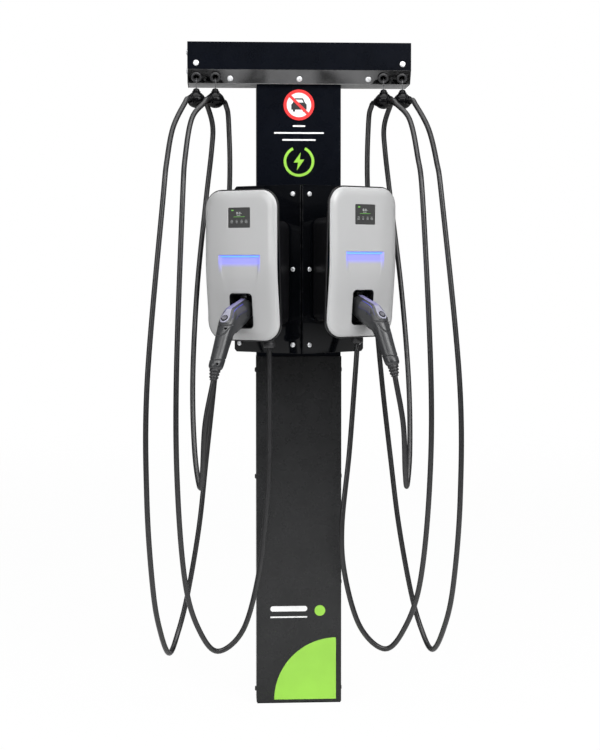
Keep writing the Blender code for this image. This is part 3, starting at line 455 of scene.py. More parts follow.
def cover_material():
    """Satin light grey, with the light bar's violet-blue glow on the floor and walls of its recess."""
    recipe = surface("cover_plastic", (0.41, 0.412, 0.415), 0.3, grain=0.00002, grain_size=0.0016,
                     drift=0.012, smudge=0.02, coat=0.15)
    across, up = recipe.maths("ABSOLUTE", recipe.axis("X")), recipe.axis("Z")
    edge = BAR_HALF[0] + 0.0015
    inside = recipe.between(across, edge, edge - 0.003, 0, 1)
    below = recipe.between(up, BAR_Z + 0.0062, BAR_Z + 0.0048, 0, 1)
    fade = recipe.between(up, BAR_Z - 0.036, BAR_Z - 0.016, 0, 1)
    wall = recipe.between(across, RECESS_FLOOR_HALF - 0.002, RECESS_FLOOR_HALF + 0.003, 0, 1)
    taper = recipe.maths("ADD", recipe.times(up, -0.16), BAR_HALF[0] + 0.16 * BAR_Z)
    sloping = recipe.between(recipe.maths("SUBTRACT", across, taper), 0.004, -0.004, 0, 1)
    wall_fade = recipe.between(up, BAR_Z - 0.058, BAR_Z - 0.004, 0, 0.85)
    side_glow = recipe.times(recipe.times(wall, wall_fade), sloping)
    strength = recipe.times(recipe.most(fade, side_glow), recipe.times(inside, below))
    return recipe.set(Base_Color=recipe.mix(strength, recipe.made, (0.2, 0.2, 0.45)),
                      Emission_Color=(0.27, 0.27, 1.0, 1), Emission_Strength=recipe.times(strength, 0.6))


def display_material():
    """A smoked window over a dark screen that glows faintly."""
    recipe = surface("display_glass", (0.03, 0.03, 0.03), 0.12, grain=0.00001, grain_size=0.01, drift=0.1,
                     smudge=0.03)
    return recipe.set(Emission_Color=(0.045, 0.045, 0.045, 1), Emission_Strength=0.6)


def lit(name, colour, strength):
    """A glowing face with slightly uneven light."""
    recipe = new_recipe(name)
    uneven = recipe.between(recipe.noise(0.03), 0.3, 0.7, strength * 0.92, strength * 1.08)
    return recipe.set(Base_Color=(*colour, 1), Emission_Color=(*colour, 1), Emission_Strength=uneven,
                      Roughness=0.4)


def plain(name, colour, roughness, **detail):
    return surface(name, colour, roughness, **detail).material


PAINT = paint_material()
ACCESS_PAINT = plain("access_cover_coat", (0.0125, 0.0128, 0.0135), 0.28, grain=0.00001, grain_size=0.0016,
                     smudge=0.015, edge=0.3, specular=0.33)
GLOSS_PAINT = plain("gloss_black_coat", (0.002, 0.0024, 0.0035), 0.09, grain=0.00001, grain_size=0.006,
                    smudge=0.01, edge=0.25, specular=0.2)
BLACK_SCREW = plain("blackened_screw", (0.02, 0.02, 0.022), 0.35, metallic=0.4, grain=0.00003,
                    grain_size=0.001, smudge=0.08)
ZINC = plain("zinc_plate", (0.55, 0.56, 0.58), 0.4, metallic=0.9, grain_size=0.004, drift=0.25, smudge=0.12)
STEEL = plain("galvanised_steel", (0.42, 0.43, 0.44), 0.45, metallic=0.9, grain=0.0002, grain_size=0.009,
              drift=0.3, smudge=0.12)
STAINLESS = plain("polished_screw", (0.82, 0.83, 0.85), 0.38, metallic=0.55, grain=0.00003,
                  grain_size=0.0008, drift=0.06, smudge=0.08)
SPRING = plain("spring_steel", (0.3, 0.31, 0.33), 0.3, metallic=1.0, grain_size=0.003)
ROPE = plain("steel_rope", (0.15, 0.15, 0.155), 0.35, metallic=0.9, grain=0.0003, grain_size=0.0012,
             stretch=(1, 1, 0.4))
NATURAL = plain("natural_plastic", (0.66, 0.65, 0.6), 0.5)
RUBBER = plain("grommet_rubber", (0.028, 0.028, 0.03), 0.42, grain_size=0.0015, drift=0.2, smudge=0.1)
CLAMP = plain("clamp_plastic", (0.0022, 0.0022, 0.0028), 0.06, grain=0.00002, grain_size=0.003,
              smudge=0.01, specular=0.13)
SHELL = plain("shell_plastic", (0.005, 0.005, 0.006), 0.34, grain=0.00005, grain_size=0.0016, smudge=0.02)
CUP = plain("holster_plastic", (0.01, 0.01, 0.011), 0.3, grain=0.00005, specular=0.3)
BOARD = plain("solder_resist", (0.02, 0.13, 0.05), 0.45, grain=0.0002, grain_size=0.003, drift=0.4)
GRIP = plain("grip_plastic", (0.028, 0.029, 0.031), 0.3, grain=0.00003, grain_size=0.0014, drift=0.06,
             smudge=0.03)
GRIP_PANEL = plain("grip_panel", (0.048, 0.047, 0.058), 0.34, grain=0.00003, grain_size=0.001, drift=0.06,
                   smudge=0.03)
# One accent blue in two copies: the brighter with a painted reflection of the light bar, the dimmer with
# painted shade.
ACCENT_PAINTED_LIT = plain("accent_line_painted_lit", (0.05, 0.05, 0.38), 0.3, grain=0.00002, drift=0.05)
ACCENT_PAINTED_SHADE = plain("accent_line_painted_shade", (0.04, 0.04, 0.16), 0.3, grain=0.00002, drift=0.05)
# Near black that stands for shade: painted shade deep in the plug's screw holes, and the floor cards that
# darken reflections.
SHADE_BLACK = plain("screw_hole_shade", (0.001, 0.001, 0.001), 0.7, grain=0.00003, specular=0.1)
BUTTON = plain("button_plastic", (0.12, 0.12, 0.14), 0.35, grain_size=0.001)
BOOT = plain("boot_rubber", (0.024, 0.024, 0.026), 0.45, grain=0.00015, grain_size=0.0015, smudge=0.1)
JACKET = plain("cable_jacket", (0.014, 0.014, 0.015), 0.34, grain=0.00005, grain_size=0.0025, drift=0.1,
               smudge=0.03)
SIGN_RED = plain("sign_red", (0.9, 0.035, 0.035), 0.4, grain=0.00004, drift=0.05)
SIGN_WHITE = plain("sign_white", (0.86, 0.86, 0.86), 0.4, grain=0.00004, drift=0.03)
SIGN_BLACK = plain("sign_black", (0.02, 0.02, 0.022), 0.4, grain=0.00004)
SIGN_GREEN = plain("sign_green", (0.31, 0.65, 0.065), 0.4, grain=0.00004, drift=0.04)
BAR_LIGHT = lit("bar_light", (0.13, 0.33, 1.0), 0.75)
MARK_WHITE = lit("screen_white", (0.42, 0.44, 0.43), 0.2)
MARK_GREEN = lit("screen_green", (0.13, 0.42, 0.06), 0.4)
CHASSIS = chassis_material()
PALE_TRIM = trim_material()
COVER = cover_material()
DISPLAY = display_material()


def wear(obj, material):
    obj.data.materials.clear()
    obj.data.materials.append(material)
    return obj


def piece(obj, material, body, slot, *replaced, place=None):
    """Finish a piece: its place, its material, the body that it rides on and the CAD nodes it stands for."""
    if place:
        placed(obj, place)
    wear(obj, material)
    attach(obj, body)
    if replaced:
        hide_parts(*replaced)
    return obj


# ---- CAD nodes that keep their shape -----------------------------------------------------------
def dress_frame():
    kept = {"post_column": PAINT, "post_front_cover": ACCESS_PAINT, "head_cover": PAINT,
            "head_chassis": CHASSIS, "base_plate": STEEL, "retractor_rail": ZINC}
    for side in SIDES:
        kept |= {f"{side}_spring_arbor": SPRING, f"{side}_control_board": BOARD}
        kept |= {f"{side}_{reel}_drum": NATURAL for reel in REEL_X}
    for name, material in kept.items():
        wear(NODES[name], material)


# ---- screws ------------------------------------------------------------------------------------
SMALL_HEAD, LARGE_HEAD = 0.008, 0.0096
POST_SCREWS_Z = [0.04 + 0.359 * i for i in range(4)]
FRONT_SCREW_X, FRONT_SCREW_Z = 0.34, 2.13
END_SCREW_Y, END_SCREWS_Z = -0.03, (2.112, 2.174)
SLOPE_SCREWS_X = (-0.228, 0, 0.228)
SLOPE_SCREW_Y, SLOPE_SCREW_Z = -0.08707, 2.082
SLOPE_DIRECTION = Vector((0, -0.043, -0.026)).normalized()


def screw(seat, outward, length, head=SMALL_HEAD):
    """A pan-head screw with a shallow cross recess."""
    roll = 0.0032
    dome = [(0, 0.0047), (0.0022, 0.0046), *arc((head - roll, 0.0012), roll, 78, 0, 8),
            (head, 0), (0.0029, 0), (0.0029, -length), (0, -length)]
    arms = [block("arm", (-x, -y, 0.0036), (x, y, 0.006), 0.0002)
            for x, y in ((0.0028, 0.0006), (0.0006, 0.0028))]
    return worked_in(cut(turned("screw", dome, 28), *arms), standing(outward, seat))


def nut_strip(side, wall, thickness, low, high):
    """The strip inside a side wall that the screws reach, between two (y, z) corners."""
    inner = SIDES[side] * (wall - SHEET - GAP)
    xs = sorted((inner, inner - SIDES[side] * thickness))
    return block("strip", (xs[0], *low), (xs[1], *high), 0.0004)


def post_screws(side):
    sign = SIDES[side]
    low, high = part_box(f"{side}_post_screws")
    middle_y = (low.y + high.y) / 2
    parts = [screw((sign * (ACCESS_HIGH.x + GAP), middle_y, z), (sign, 0, 0), 0.007) for z in POST_SCREWS_Z]
    parts.append(nut_strip(side, POST_HIGH.x, 0.005, low.yz, high.yz))
    piece(merged(f"{side}_post_screw_set", parts), BLACK_SCREW, "root", "black_powder_coat",
          f"{side}_post_screws")


def head_screws(side):
    sign = SIDES[side]
    parts = [screw((sign * FRONT_SCREW_X, HEAD_LOW.y - GAP, FRONT_SCREW_Z), (0, -1, 0), 0.007, LARGE_HEAD)]
    parts += [screw((sign * (HEAD_HIGH.x + GAP), END_SCREW_Y, z), (sign, 0, 0), 0.004, LARGE_HEAD)
              for z in END_SCREWS_Z]
    parts.append(nut_strip(side, HEAD_HIGH.x, 0.002, (HEAD_LOW.y + 0.005, 2.119), (-0.02, 2.124)))
    piece(merged(f"{side}_head_screw_set", parts), STAINLESS, "root", "stainless_screw",
          f"{side}_head_screws")


def slope_screws():
    """Bright heads over the rail's own screws in the sloping face."""
    seats = [Vector((x, SLOPE_SCREW_Y, SLOPE_SCREW_Z)) + SLOPE_DIRECTION * GAP for x in SLOPE_SCREWS_X]
    parts = [screw(seat, SLOPE_DIRECTION, 0.002, LARGE_HEAD + 0.0003) for seat in seats]
    piece(merged("slope_screw_heads", parts), STAINLESS, "root", "stainless_screw")


# ---- V bracket ---------------------------------------------------------------------------------
WING_SHEET = 0.003
FOLD_RADIUS = 0.011
WING_CHAMFER = 0.0085
WING_SCREW_U, CORNER_SCREW_U = 0.032, 0.24
WING_SCREW_Z = (1.209, 1.454, 1.698)
SEAM_HALF = 0.0006


def wing_path(side):
    """The outer face of a half in plan, from the wing's tip round the fold and back to the column."""
    sign = SIDES[side]
    low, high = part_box(f"{side}_bracket")
    apex = Vector((SEAM_HALF, low.y + SEAM_HALF * math.tan(V_ANGLE)))
    along = Vector((math.cos(V_ANGLE), math.sin(V_ANGLE)))
    tip_x = high.x if sign > 0 else -low.x
    length = (tip_x - apex.x) / along.x
    turn = math.pi / 2 - V_ANGLE
    tangent = FOLD_RADIUS * math.tan(turn / 2)
    points = [apex + along * u for u in (length, length - WING_CHAMFER, length * 0.5, tangent)]
    centre = Vector((apex.x + FOLD_RADIUS, apex.y + tangent))
    steps = 10
    for i in range(1, steps):
        angle = math.radians(180) + turn * (1 - i / steps)
        points.append(centre + Vector((math.cos(angle), math.sin(angle))) * FOLD_RADIUS)
    points += [Vector((apex.x, apex.y + tangent)), Vector((apex.x, POST_LOW.y - GAP - WING_SHEET))]
    return points, low.z, high.z


def bracket(side):
    sign = SIDES[side]
    path, foot, top = wing_path(side)
    rings = []
    for i, point in enumerate(path):
        before, after = path[max(i - 1, 0)], path[min(i + 1, len(path) - 1)]
        run = (after - before).normalized()
        inner = point + Vector((-run.y, run.x)) * -WING_SHEET
        trim = WING_CHAMFER if i == 0 else 0
        ring = [(point, foot + trim), (point, top - trim), (inner, top - trim), (inner, foot + trim)]
        rings.append([(sign * p.x, p.y, z) for p, z in ring])
    made = eased(skin(f"{side}_bracket_sheet", rings, sharp=30), 0.0007, 40)
    y = POST_LOW.y - GAP
    xs = sorted((sign * SEAM_HALF, sign * 0.075))
    foot_plate = block("foot", (xs[0], y - WING_SHEET, foot), (xs[1], y, top), 0.0006)
    piece(merged(f"{side}_bracket_half", [made, foot_plate]), GLOSS_PAINT, "root", "gloss_black_coat",
          f"{side}_bracket")


def bracket_screws(side):
    sign = SIDES[side]
    apex = Vector((0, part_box(f"{side}_bracket")[0].y, 0))
    along = Vector((sign * math.cos(V_ANGLE), math.sin(V_ANGLE), 0))
    outward = Vector((sign * math.sin(V_ANGLE), -math.cos(V_ANGLE), 0))
    places = [(WING_SCREW_U, z) for z in WING_SCREW_Z] + [(CORNER_SCREW_U, WING_SCREW_Z[0])]
    parts = [screw(apex + along * u + outward * GAP + Vector((0, 0, z)), outward, 0.006) for u, z in places]
    nut_bar = block("nut_bar", (-0.01, -0.0015, WING_SCREW_Z[0] - 0.01),
                    (0.01, 0.0015, WING_SCREW_Z[-1] + 0.01), 0.0004)
    centre = apex + along * WING_SCREW_U - outward * 0.0048
    placed(nut_bar, Matrix.Translation(centre) @ Matrix.Rotation(sign * V_ANGLE, 4, "Z"))
    bpy.context.view_layer.update()
    piece(merged(f"{side}_bracket_screw_set", parts + [nut_bar]), STAINLESS, "root", "stainless_screw",
          f"{side}_bracket_screws")


# ---- chargers ----------------------------------------------------------------------------------
def recede(z):
    """How far the cover curves back towards the wing at a height."""
    return RECEDE * smooth(RECEDE_TOP, -COVER_HALF[1], z)


def inset_distance(x, z, half, corner):
    """Distance from a point in a rounded rectangle to its outline."""
    qx, qz = abs(x) - (half[0] - corner), abs(z) - (half[1] - corner)
    outside = math.hypot(max(qx, 0), max(qz, 0)) + min(max(qx, qz), 0)
    return corner - outside


def channel(x, z):
    """The shallow channel that leads from the light bar's recess down to the holster."""
    top, foot = BAR_Z - 0.03, HOLSTER_Z + HOLSTER_HALF[1] - 0.01
    half = RECESS_FLOOR_HALF + (HOLSTER_HALF[0] + 0.004 - RECESS_FLOOR_HALF) * smooth(top, foot, z)
    sides = smooth(half + 0.009, half - 0.003, abs(x))
    return CHANNEL_DEPTH * sides * smooth(top + 0.02, top - 0.02, z)


def recess(x, z):
    """Depth of the light bar's recess: a ledge above, tapering side walls, a floor that runs out."""
    share = (RECESS_TOP - z) / RECESS_RUN
    if not 0 < share < 1:
        return 0.0
    fading = (1 - share) ** 1.6
    wall = (BAR_HALF[0] + 0.001 - RECESS_FLOOR_HALF) * fading + 0.0004
    return RECESS_DEPTH * fading * min(max((RECESS_FLOOR_HALF + wall - abs(x)) / wall, 0), 1)


def face_y(x, z):
    """The cover's outer surface: flat in the middle, rolled over at the edge, curved back at the foot."""
    near = min(max(inset_distance(x, z, COVER_HALF, COVER_CORNER) / EDGE_REACH, 0), 1)
    roll = EDGE_DROP * (1 - math.sqrt(max(0, 1 - (1 - near) ** 2)))
    return roll + channel(x, z) + recess(x, z) + recede(z) - CHARGER_DEPTH


def cover_rows():
    """Heights of the grid's rows, closer together round the corners."""
    half_height, corner = COVER_HALF[1], COVER_CORNER
    steps = 16
    bend = [half_height - corner + corner * math.sin(math.radians(90 - 90 * i / steps)) for i in range(steps)]
    flat = half_height - corner
    middle_steps = 40
    middle = [flat - 2 * flat * i / middle_steps for i in range(middle_steps + 1)]
    foot = RECESS_TOP - RECESS_RUN
    middle = [z for z in middle if not foot - 0.002 < z < RECESS_TOP + 0.002]
    ledge = [RECESS_TOP + 0.0005, RECESS_TOP - 0.0003]
    ledge += [RECESS_TOP - RECESS_RUN * i / 26 for i in range(1, 27)]
    return bend + sorted(middle + ledge, reverse=True) + [-z for z in reversed(bend)]


def cover_columns():
    """Places of the grid's columns, as shares of the flat part's half width."""
    inner = COVER_HALF[0] - EDGE_REACH
    walls = [RECESS_FLOOR_HALF - 0.001 + 0.001 * i for i in range(15)]
    steps = [inner * i / 14 for i in range(14)]
    half = [x for x in steps if not walls[0] - 0.002 < x < walls[-1] + 0.002] + walls
    return sorted([x / inner for x in half] + [-x / inner for x in half if x > 0])


def cover_grid():
    half_width, half_height = COVER_HALF
    roll = [EDGE_REACH * (1 - math.cos(math.radians(9 * i))) for i in range(11)]
    rows = []
    for z in cover_rows():
        over = max(abs(z) - (half_height - COVER_CORNER), 0)
        reach = half_width - COVER_CORNER + math.sqrt(max(COVER_CORNER ** 2 - over ** 2, 0))
        inner = reach - EDGE_REACH
        flat = [inner * share for share in cover_columns()]
        xs = [-(reach - d) for d in roll] + flat + [reach - d for d in reversed(roll)]
        rows.append([(x, face_y(x, z), z) for x in xs])
    return rows


def cover_mesh(name):
    rows = cover_grid()
    bm = bmesh.new()
    grid = [[bm.verts.new(point) for point in row] for row in rows]
    for one, two in zip(grid, grid[1:]):
        for i in range(len(one) - 1):
            bm.faces.new((one[i], one[i + 1], two[i + 1], two[i]))
    rim = [edge for edge in bm.edges if edge.is_boundary]
    grown = bmesh.ops.extrude_edge_only(bm, edges=rim)["geom"]
    for vert in (item for item in grown if isinstance(item, bmesh.types.BMVert)):
        vert.co.y = COVER_SKIRT - CHARGER_DEPTH + recede(vert.co.z)
    bmesh.ops.recalc_face_normals(bm, faces=bm.faces)
    middle = min(bm.faces, key=lambda face: face.calc_center_median().length)
    if middle.normal.y > 0:
        bmesh.ops.reverse_faces(bm, faces=bm.faces)
    made = as_object(name, bm)
    wall = made.modifiers.new("Wall", "SOLIDIFY")
    wall.thickness = COVER_WALL
    wall.offset = -1
    return applied(made)


def rounded_cutter(name, half, corner, centre_z, y_front, y_back):
    outline = rounded_rectangle(*half, corner)
    return skin(name, [flat_ring(outline, y_front, centre_z), flat_ring(outline, y_back, centre_z)])


def front_cover(side, place):
    made = cover_mesh(f"{side}_cover_shell")
    out, inside = -CHARGER_DEPTH - 0.02, -CHARGER_DEPTH + 0.03
    opening = [half + 0.0004 for half in SCREEN_HALF]
    screen = rounded_cutter("screen", opening, 0.003, SCREEN_Z, out, inside)
    cut(made, screen, rounded_cutter("holster", HOLSTER_HALF, 0.013, HOLSTER_Z, out, inside))
    piece(eased(made, 0.0006, 60, 32), COVER, "root", "charger_cover", f"{side}_front_cover", place=place)


def back_shell(side, place):
    """The black rear housing, with the rim that shows round the cover."""
    rim_y = COVER_SKIRT + GAP - CHARGER_DEPTH

    def ring(half, corner, y, centre_z=0.0, curve=1.0):
        outline = rounded_rectangle(*half, corner, 10)
        return [(x, y + curve * recede(z + centre_z), z + centre_z) for x, z in outline]

    def back_ring(inset, corner, y):
        return ring([half - inset for half in BACK_HALF], corner, y, BACK_CENTRE_Z, 0)

    inner = [back_ring(0.008, 0.019, -0.0033), back_ring(0.003, 0.023, -0.0065),
             back_ring(0.003, 0.023, -0.08), ring((0.107, 0.194), 0.037, -0.09, -0.009, 0.2),
             ring((0.121, 0.219), 0.047, rim_y + 0.028, 0, 0.6),
             ring((0.134, 0.237), 0.057, rim_y + 0.0135, 0, 0.9),
             ring((0.137, 0.24), 0.059, rim_y + 0.007), ring((0.137, 0.24), 0.059, rim_y)]
    outer = [ring([half - 0.001 for half in RIM_HALF], 0.061, rim_y), ring(RIM_HALF, 0.062, rim_y + 0.0015),
             ring(RIM_HALF, 0.062, rim_y + 0.007), ring((0.137, 0.24), 0.06, rim_y + 0.011, 0, 0.9),
             ring((0.124, 0.222), 0.05, rim_y + 0.024, 0, 0.6),
             ring((0.11, 0.197), 0.04, -0.093, -0.009, 0.2),
             ring((0.098, 0.171), 0.03, -0.084, BACK_CENTRE_Z, 0), back_ring(0, 0.026, -0.079),
             back_ring(0, 0.026, -0.0075), back_ring(0.002, 0.024, -0.0035), back_ring(0.007, 0.02, -GAP)]
    made = skin(f"{side}_rear_housing", inner + outer, sharp=30)
    ribs = [block("rib", (x - 0.0012, -0.072, 0.138), (x + 0.0012, -0.012, 0.1445), 0.0005)
            for x in (-0.06, -0.03, 0, 0.03, 0.06)]
    piece(merged(f"{side}_rear_housing", [made, *ribs]), SHELL, "root", "charger_shell",
          f"{side}_back_shell", place=place)


def marks(name, boxes, y, thickness=0.0004):
    """Small raised marks on a face, each as (x, z, half width, half height)."""
    return merged(name, [prism("mark", rounded_rectangle(w, h, min(w, h) * 0.5, 4),
                               Matrix.Translation((x, y, z)) @ FACE_UP, thickness)
                         for x, z, w, h in boxes])


def display(side, place):
    """The window, and generic figures, rows and a status line on the screen behind it."""
    glass_y = -CHARGER_DEPTH + 0.0008
    window = pane(f"{side}_screen", rounded_rectangle(*SCREEN_HALF, 0.003, 6), (0.985, 0.98), glass_y,
                  0.008, SCREEN_Z)
    piece(window, DISPLAY, "root", "display", f"{side}_display", place=place)
    strokes = [(x, 0, 0.0006, 0.0028) for x in (-0.0052, -0.0012, 0.0042, 0.0082)]
    strokes += [(x, z, 0.002, 0.0006) for x in (-0.0032, 0.0062) for z in (0.0028, -0.0028)]
    strokes += [(0.0015, -0.0028, 0.0006, 0.0006), (0.0125, -0.0016, 0.0013, 0.0005),
                (0.002, -0.0075, 0.007, 0.0005)]
    figures = [(x - 0.004, SCREEN_Z + 0.0145 + z, w, h) for x, z, w, h in strokes]
    columns = ((-0.028, 0.005), (-0.009, 0.0036), (0.01, 0.0042), (0.027, 0.0052))
    lines = ((0.0082, 0.7), (0.0122, 1), (0.0162, 0.85))
    rows = [(x, SCREEN_Z - z, w * shrink, 0.0004) for z, shrink in lines for x, w in columns]
    status = [(-0.0255, SCREEN_Z + 0.0235, 0.0042, 0.0016), (0, SCREEN_Z + 0.0028, 0.0215, 0.0005)]
    for title, boxes, glow in (("figures", figures + rows, MARK_WHITE), ("status", status, MARK_GREEN)):
        piece(marks(f"{side}_screen_{title}", boxes, glass_y), glow, "root", "display", place=place)


def light_bar(side, place):
    """The lit strip tucked under the recess's ledge, behind the shadow line of the ledge itself."""
    outline = rounded_rectangle(BAR_HALF[0] - 0.0015, 0.0028, 0.002, 6)
    strip = pane(f"{side}_light_strip", outline, (0.997, 0.8), RECESS_DEPTH - CHARGER_DEPTH - 0.004, 0.005,
                 BAR_Z + 0.0008)
    piece(strip, BAR_LIGHT, "root", "light_bar", f"{side}_light_bar", place=place)


def holster(side, place):
    """The dark cup, whose lip follows the curved cover."""
    half, back = HOLSTER_HALF, HOLSTER_DEPTH - CHARGER_DEPTH

    def ring(grow, y, follow, corner):
        outline = rounded_rectangle(half[0] + grow, half[1] + grow, corner)
        return [(x, y + follow * recede(z + HOLSTER_Z), z + HOLSTER_Z) for x, z in outline]

    front = 0.0012 - CHARGER_DEPTH
    rings = [ring(-0.0004, back, 0, 0.0126), ring(-0.0004, front, 1, 0.0126),
             ring(-0.0016, front - 0.0004, 1, 0.0115), ring(-0.0026, front + 0.0006, 1, 0.0105),
             ring(-0.004, front + 0.02, 1, 0.01), ring(-0.0065, back - 0.006, 0, 0.009),
             ring(-0.009, back - 0.003, 0, 0.008)]
    made = skin(f"{side}_holster_cup", rings, sharp=40)
    tongue = block("latch_slot", (-0.011, back - 0.03, HOLSTER_Z + 0.036),
                   (0.011, back - 0.003, HOLSTER_Z + 0.05), 0.001)
    piece(merged(f"{side}_holster_cup", [made, tongue]), CUP, "root", "holster_plastic", f"{side}_holster",
          place=place)


def gland(side, place):
    seat, foot = BACK_CENTRE_Z - BACK_HALF[1], GLAND.z
    profile = [(0.0125, seat + 0.012), (0.0125, seat - GAP), (0.0178, seat - GAP), (0.0186, seat - 0.001),
               (0.0186, seat - 0.0075), (0.0178, seat - 0.0083), (0.0162, seat - 0.009),
               (0.016, foot + 0.019), (0.019, foot + 0.0175), (0.0196, foot + 0.0165),
               (0.0196, foot + 0.0045), (0.0188, foot + 0.003), (0.0165, foot), (CABLE_BORE, foot),
               (CABLE_BORE, seat + 0.012)]
    piece(turned(f"{side}_gland_body", profile, 48), BOOT, "root", "gland_plastic", f"{side}_cable_gland",
          place=place @ Matrix.Translation((GLAND.x, GLAND.y, 0)))


# ---- plugs -------------------------------------------------------------------------------------
GRIP_STATIONS = (
    # out of face, height, slope in degrees, half depth, half width, squareness
    (-0.040, -0.1356, 27.3, 0.0300, 0.0280, 3.2),
    (0.000, -0.1539, 25.2, 0.0350, 0.0305, 3.0),
    (0.0344, -0.1708, 25.2, 0.0376, 0.0305, 2.8),
    (0.061, -0.1920, 45, 0.0330, 0.0300, 2.5),
    (0.077, -0.2100, 62, 0.0285, 0.0268, 2.2),
    (0.098, -0.2500, 66, 0.0252, 0.0250, 2.1),
    (0.115, -0.2850, 66, 0.0243, 0.0238, 2.0),
    (0.131, -0.3150, 71, 0.0232, 0.0225, 2.0),
    (0.1345, -0.3235, 73.8, 0.0180, 0.0175, 2.0),
)
GROOVE_DEPTH = 0.0022
GROOVE_REACH = 0.034
GROOVE_SLANT = 100  # slope on the grip's skin of a groove that runs one station for each degree
GRIP_HOLES = ((3.97, 60), (6.83, 48))  # station and angle of each screw hole
GRIP_STEPS = 144
BUTTON_TILT = math.radians(48)
BUTTON_OUT = Vector((0, -math.sin(BUTTON_TILT), math.cos(BUTTON_TILT)))
BUTTON_SEAT = Vector((0, -CHARGER_DEPTH - 0.082, -0.165))


def out_of_face(n, z, x=0.0):
    return Vector((x, -CHARGER_DEPTH - n, z))


def station(t):
    """The grip's section at a place along its stations, smoothly between them."""
    last = len(GRIP_STATIONS) - 1
    i = min(int(t), last - 1)
    keys = [Vector(GRIP_STATIONS[min(max(k, 0), last)]) for k in (i - 1, i, i + 1, i + 2)]
    return catmull(*keys, t - i)


def grip_point(t, angle, grow=0.0):
    """A point of the grip's skin. Angle 90 is the outer top side, 0 the viewer's right side."""
    n, z, slope, half_depth, half_width, power = station(t)
    up = Vector((math.sin(math.radians(slope)), math.cos(math.radians(slope))))
    c, s = math.cos(math.radians(angle)), math.sin(math.radians(angle))
    wide = math.copysign(abs(c) ** (2 / power), c) * (half_width + grow)
    lift = up * math.copysign(abs(s) ** (2 / power), s) * (half_depth + grow)
    return out_of_face(n + lift.x, z + lift.y, wide)


def grooves_at(angle):
    """(station, slant, strength) of each groove at an angle: end seam, collar and the inlay's U."""
    across = abs((angle - 90 + 180) % 360 - 180)
    return (
        (6.25 + 0.25 * math.sin(math.radians(angle)), 0.0, 1.0),
        (3.74 - 0.5 * (across / 66) ** 2, across / 66 ** 2, smooth(78, 60, across)),
        (4.5 - 0.6 * (across / 56) ** 3, 1.8 * across ** 2 / 56 ** 3, smooth(60, 52, across)))


def grip_dip(t, angle):
    """Depth of the grooves at a point, each as wide where it runs along the grip as where it crosses it."""
    return GROOVE_DEPTH * sum(
        strength * math.exp(-((t - at) / (GROOVE_REACH * math.hypot(1, GROOVE_SLANT * slant))) ** 2)
        for at, slant, strength in grooves_at(angle))


def grip_patch(name, start, end, low, high, proud, steps=24):
    """A thin inlay on the grip between two edges, each an angle as a function of the station."""
    rings = []
    for i in range(steps + 1):
        t = start + (end - start) * i / steps
        angles = [low(t) + (high(t) - low(t)) * j / 6 for j in range(7)]
        rings.append([grip_point(t, a, proud) for a in angles]
                     + [grip_point(t, a, -0.001) for a in reversed(angles)])
    return skin(name, rings, sharp=40)


def plug_handle(side, place):
    body, last = f"{side}_plug_body", len(GRIP_STATIONS) - 1
    coarse = {i / 6 for i in range(last * 6 + 1)}
    by_grooves = {round(2.5 + 0.025 * i, 3) for i in range(84)} | {5.95 + 0.025 * i for i in range(25)}
    angles = [360 * i / GRIP_STEPS for i in range(GRIP_STEPS)]
    rings = [[grip_point(t, a, -grip_dip(t, a)) for a in angles] for t in sorted(coarse | by_grooves)]
    made = skin(f"{body}_shell", rings, sharp=50)
    wells, shades = [], []
    for t, angle in GRIP_HOLES:
        centre, below = grip_point(t, angle), grip_point(t, angle, -0.01)
        spot = standing(centre - below, centre) @ Matrix.Diagonal((1.5, 1, 1, 1))
        well = [(0, 0.003), (0.0033, 0.003), (0.0033, -0.006), (0, -0.006)]
        wells.append(worked_in(turned("well", well, 24), spot))
        # A black disc deep in each well: painted shade at the bottom of the screw hole.
        shade = [(0, -0.0035), (0.003, -0.0035), (0.0036, -0.0042), (0.0036, -0.007), (0, -0.007)]
        shades.append(worked_in(turned("shade", shade, 24), spot))
    cut(made, *wells)
    made.data.set_sharp_from_angle(angle=math.radians(50))
    piece(made, GRIP, body, "grip_plastic", f"{side}_plug_handle", place=place)
    piece(merged(f"{side}_plug_hole_shade_discs", shades), SHADE_BLACK, body, "grip_plastic", place=place)
    plug_inlays(side, place)


def plug_inlays(side, place):
    """The accent lines along both sides of the nose and the paler panel between them. The lines are one
    accent blue in two shades: painted reflection of the light bar where bright, painted shade where dim.
    """
    def line(t):
        return 60.0 - 14 * smooth(2.1, 2.8, t)

    def fold(t):
        return 9 + 8.5 * (t - 1)

    def arch(t):
        low, high = fold(t) + 3, line(t) - 8
        return low + (high - low) * math.sqrt(max(0.0, 1 - smooth(1.6, 2.42, t) ** 2))

    inlays = (
        # bright and dim are one accent line, painted lit near the nose and painted in shade further down.
        ("bright", ACCENT_PAINTED_LIT, 0.85, 2.2, lambda t: line(t) - 3, lambda t: line(t) + 2.5, 0.0006),
        ("dim", ACCENT_PAINTED_SHADE, 2.2, 2.8, lambda t: line(t) - 1.6, lambda t: line(t) + 1.6, 0.0005),
        ("fold", ACCENT_PAINTED_SHADE, 0.9, 2.6, lambda t: fold(t) - 0.9, lambda t: fold(t) + 0.9, 0.0006),
        ("panel", GRIP_PANEL, 0.9, 2.42, lambda t: fold(t) + 2, arch, 0.0007))
    for title, material, start, end, low, high, proud in inlays:
        near = grip_patch("near", start, end, low, high, proud)
        far = grip_patch("far", start, end, lambda t, edge=high: 180 - edge(t),
                         lambda t, edge=low: 180 - edge(t), proud)
        piece(merged(f"{side}_plug_inlay_{title}", [near, far]), material, f"{side}_plug_body", "grip_trim",
              place=place)


